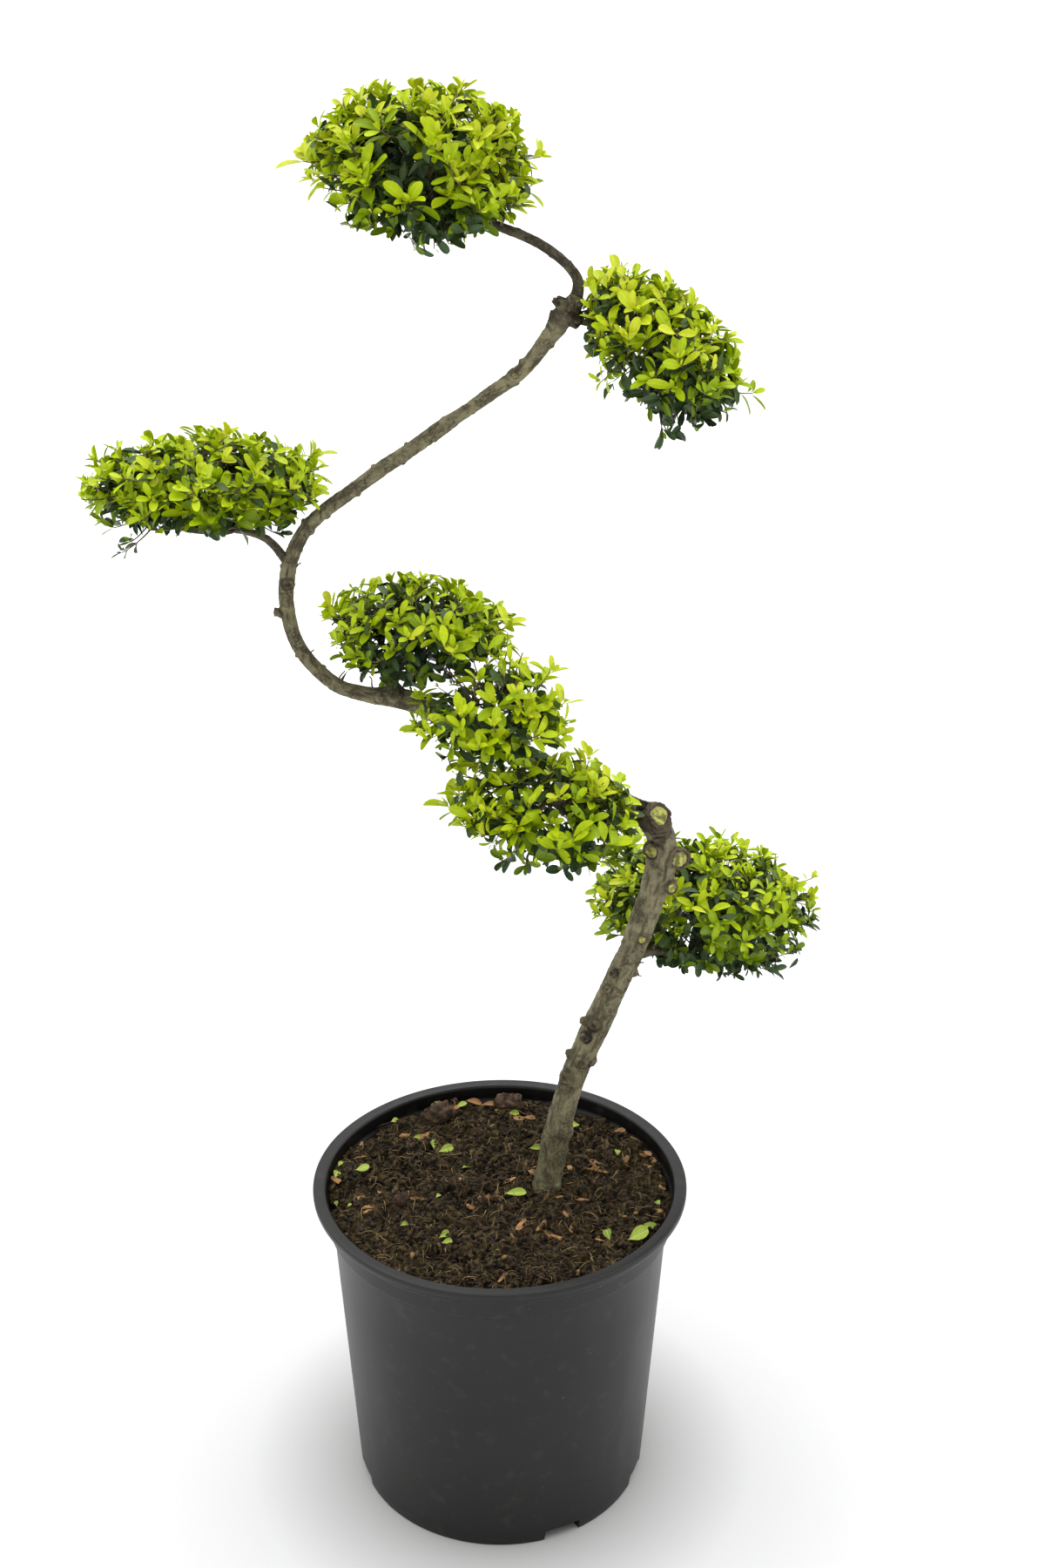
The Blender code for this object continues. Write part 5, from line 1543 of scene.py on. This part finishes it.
# Fallen leaves: x, y, heading in degrees, size, tone
fallen = np.array((
    (0.0159, -0.0133, -8, 1.15, 0.72), (0.149, -0.0621, -20, 1.10, 0.80), (0.1364, -0.0863, 10, 1.15, 0.78),
    (0.1398, -0.1003, 25, 0.95, 0.70), (0.1067, -0.0835, 100, 0.85, 0.30), (-0.0531, -0.0792, 40, 0.80, 0.75),
    (-0.0510, -0.0919, 10, 0.55, 0.70), (-0.1428, 0.0299, 2, 0.80, 0.72), (-0.1665, 0.0378, 70, 0.45, 0.60),
    (-0.1690, 0.0205, 80, 0.60, 0.60), (-0.1650, -0.0224, 100, 0.35, 0.60), (-0.1519, -0.0239, 50, 0.30, 0.60),
    (-0.0719, 0.0782, 100, 0.75, 0.45), (-0.0576, 0.0651, 15, 0.85, 0.60), (-0.1132, 0.1201, 35, 0.70, 0.72),
    (-0.0879, 0.0848, 10, 0.55, 0.45), (-0.0436, 0.1495, 30, 0.65, 0.70), (-0.0720, 0.1560, 10, 0.60, 0.60),
    (-0.0036, 0.1495, -40, 0.60, 0.66), (-0.0358, 0.0394, 20, 0.50, 0.50), (-0.0625, -0.0179, 60, 0.45, 0.70),
    (-0.0942, -0.0649, 35, 0.50, 0.50), (0.1227, 0.0618, 90, 0.55, 0.66), (0.1600, -0.0224, 110, 0.50, 0.60),
    (0.0794, 0.1218, 50, 0.60, 0.72), (0.0368, 0.0716, 10, 0.70, 0.66), (0.0135, 0.1373, 0, 0.60, 0.60),
))


# Dry brown leaves near the far rim: x, y, heading in degrees, size
dryPlaces = np.array((
    (-0.0219, 0.1560, 5, 1.1), (-0.040, 0.165, -15, 1.2), (0.024, 0.131, -20, 0.9), (0.150, 0.066, -50, 0.8),
))
trimmings = {
    "twigThick": (0.00095, 0.0006),
    "twigSway": (1.0, 0.5, 0.3),
    "fallenSize": 1.15,
    "fallenShare": 0.62,
    "fallenTints": ((0.110, 0.180, 0.020), (0.400, 0.500, 0.070), (0.50, 0.58, 0.16), 0.5),
    "drySize": 0.9,
    "dryShare": 0.5,
    "dryTints": ((0.19, 0.085, 0.030), (0.38, 0.20, 0.08), (0.42, 0.26, 0.12), 0.7),
    "seed": 77,
}


# Bare twigs sway by sin(7t + number) t; fallen leaves are lifted until root, middle and end clear
# the soil; dry leaves lie on it
def makeTrimmings():
    rng = np.random.default_rng(trimmings["seed"])
    t = np.linspace(0, 1, 7)[None, :, None]
    lines = bareTwigs[:, :1] * (1 - t) + bareTwigs[:, 1:] * t
    phase = np.arange(len(lines))[:, None, None]
    lines = lines + 0.0012 * np.sin(t * 7 + phase) * np.array(trimmings["twigSway"]) * t
    points, faces = taperedTubes(lines, trimmings["twigThick"], 6)
    dry = barkFinish(*barks["dry"])
    addPiece("bareTwigs", points, faces, dry, "young_bark", values=woodyFields(len(points), 0.3))
    turn = np.radians(fallen[:, 2])
    headings = unitRows(headingRows(turn, rng.normal(0.05, 0.12, len(turn))))
    upper = unitRows(rng.normal(0, 0.16, headings.shape) + (0, -0.40, 1))
    size = fallen[:, 3] * trimmings["fallenSize"]
    half = headings * (growth["leafLength"] * size / 2)[:, None]
    roots = onSoil(fallen[:, :2], 0.0022) - half
    lift = [soilHeight(part[:, :2]) - part[:, 2] for part in (roots, roots + half, roots + 2 * half)]
    roots = roots + (0, 0, 1) * (np.max(lift, axis=0) + 0.0008)[:, None]
    points, uv = leafBlades(roots, headings, upper, size, rng, leafOutline, 5, trimmings["fallenShare"])
    finish = leafFinish("fallenFinish", *trimmings["fallenTints"])
    addLeaves("fallenLeaves", points, uv, fallen[:, 4], finish, leafOutline, 5)
    headings = unitRows(headingRows(np.radians(dryPlaces[:, 2]), 0.05))
    upper = unitRows(np.array((0.1, -0.3, 1.0)) + 0 * headings)
    size = dryPlaces[:, 3] * trimmings["drySize"]
    roots = onSoil(dryPlaces[:, :2], 0.003)
    points, uv = leafBlades(roots, headings, upper, size, rng, leafOutline, 5, trimmings["dryShare"])
    finish = leafFinish("dryLeafFinish", *trimmings["dryTints"])
    addLeaves("dryLeaves", points, uv, np.full(len(points), 0.5), finish, leafOutline, 5)
    print("trimmings done")


lowest, highest = (np.array([float(part) for part in corner]) for corner in cadBox)
makeStudio()
makePot()
makeSoil()
makeLitter()
makeLimbs()
makeCuts()
makeFoliage()
makeTrimmings()
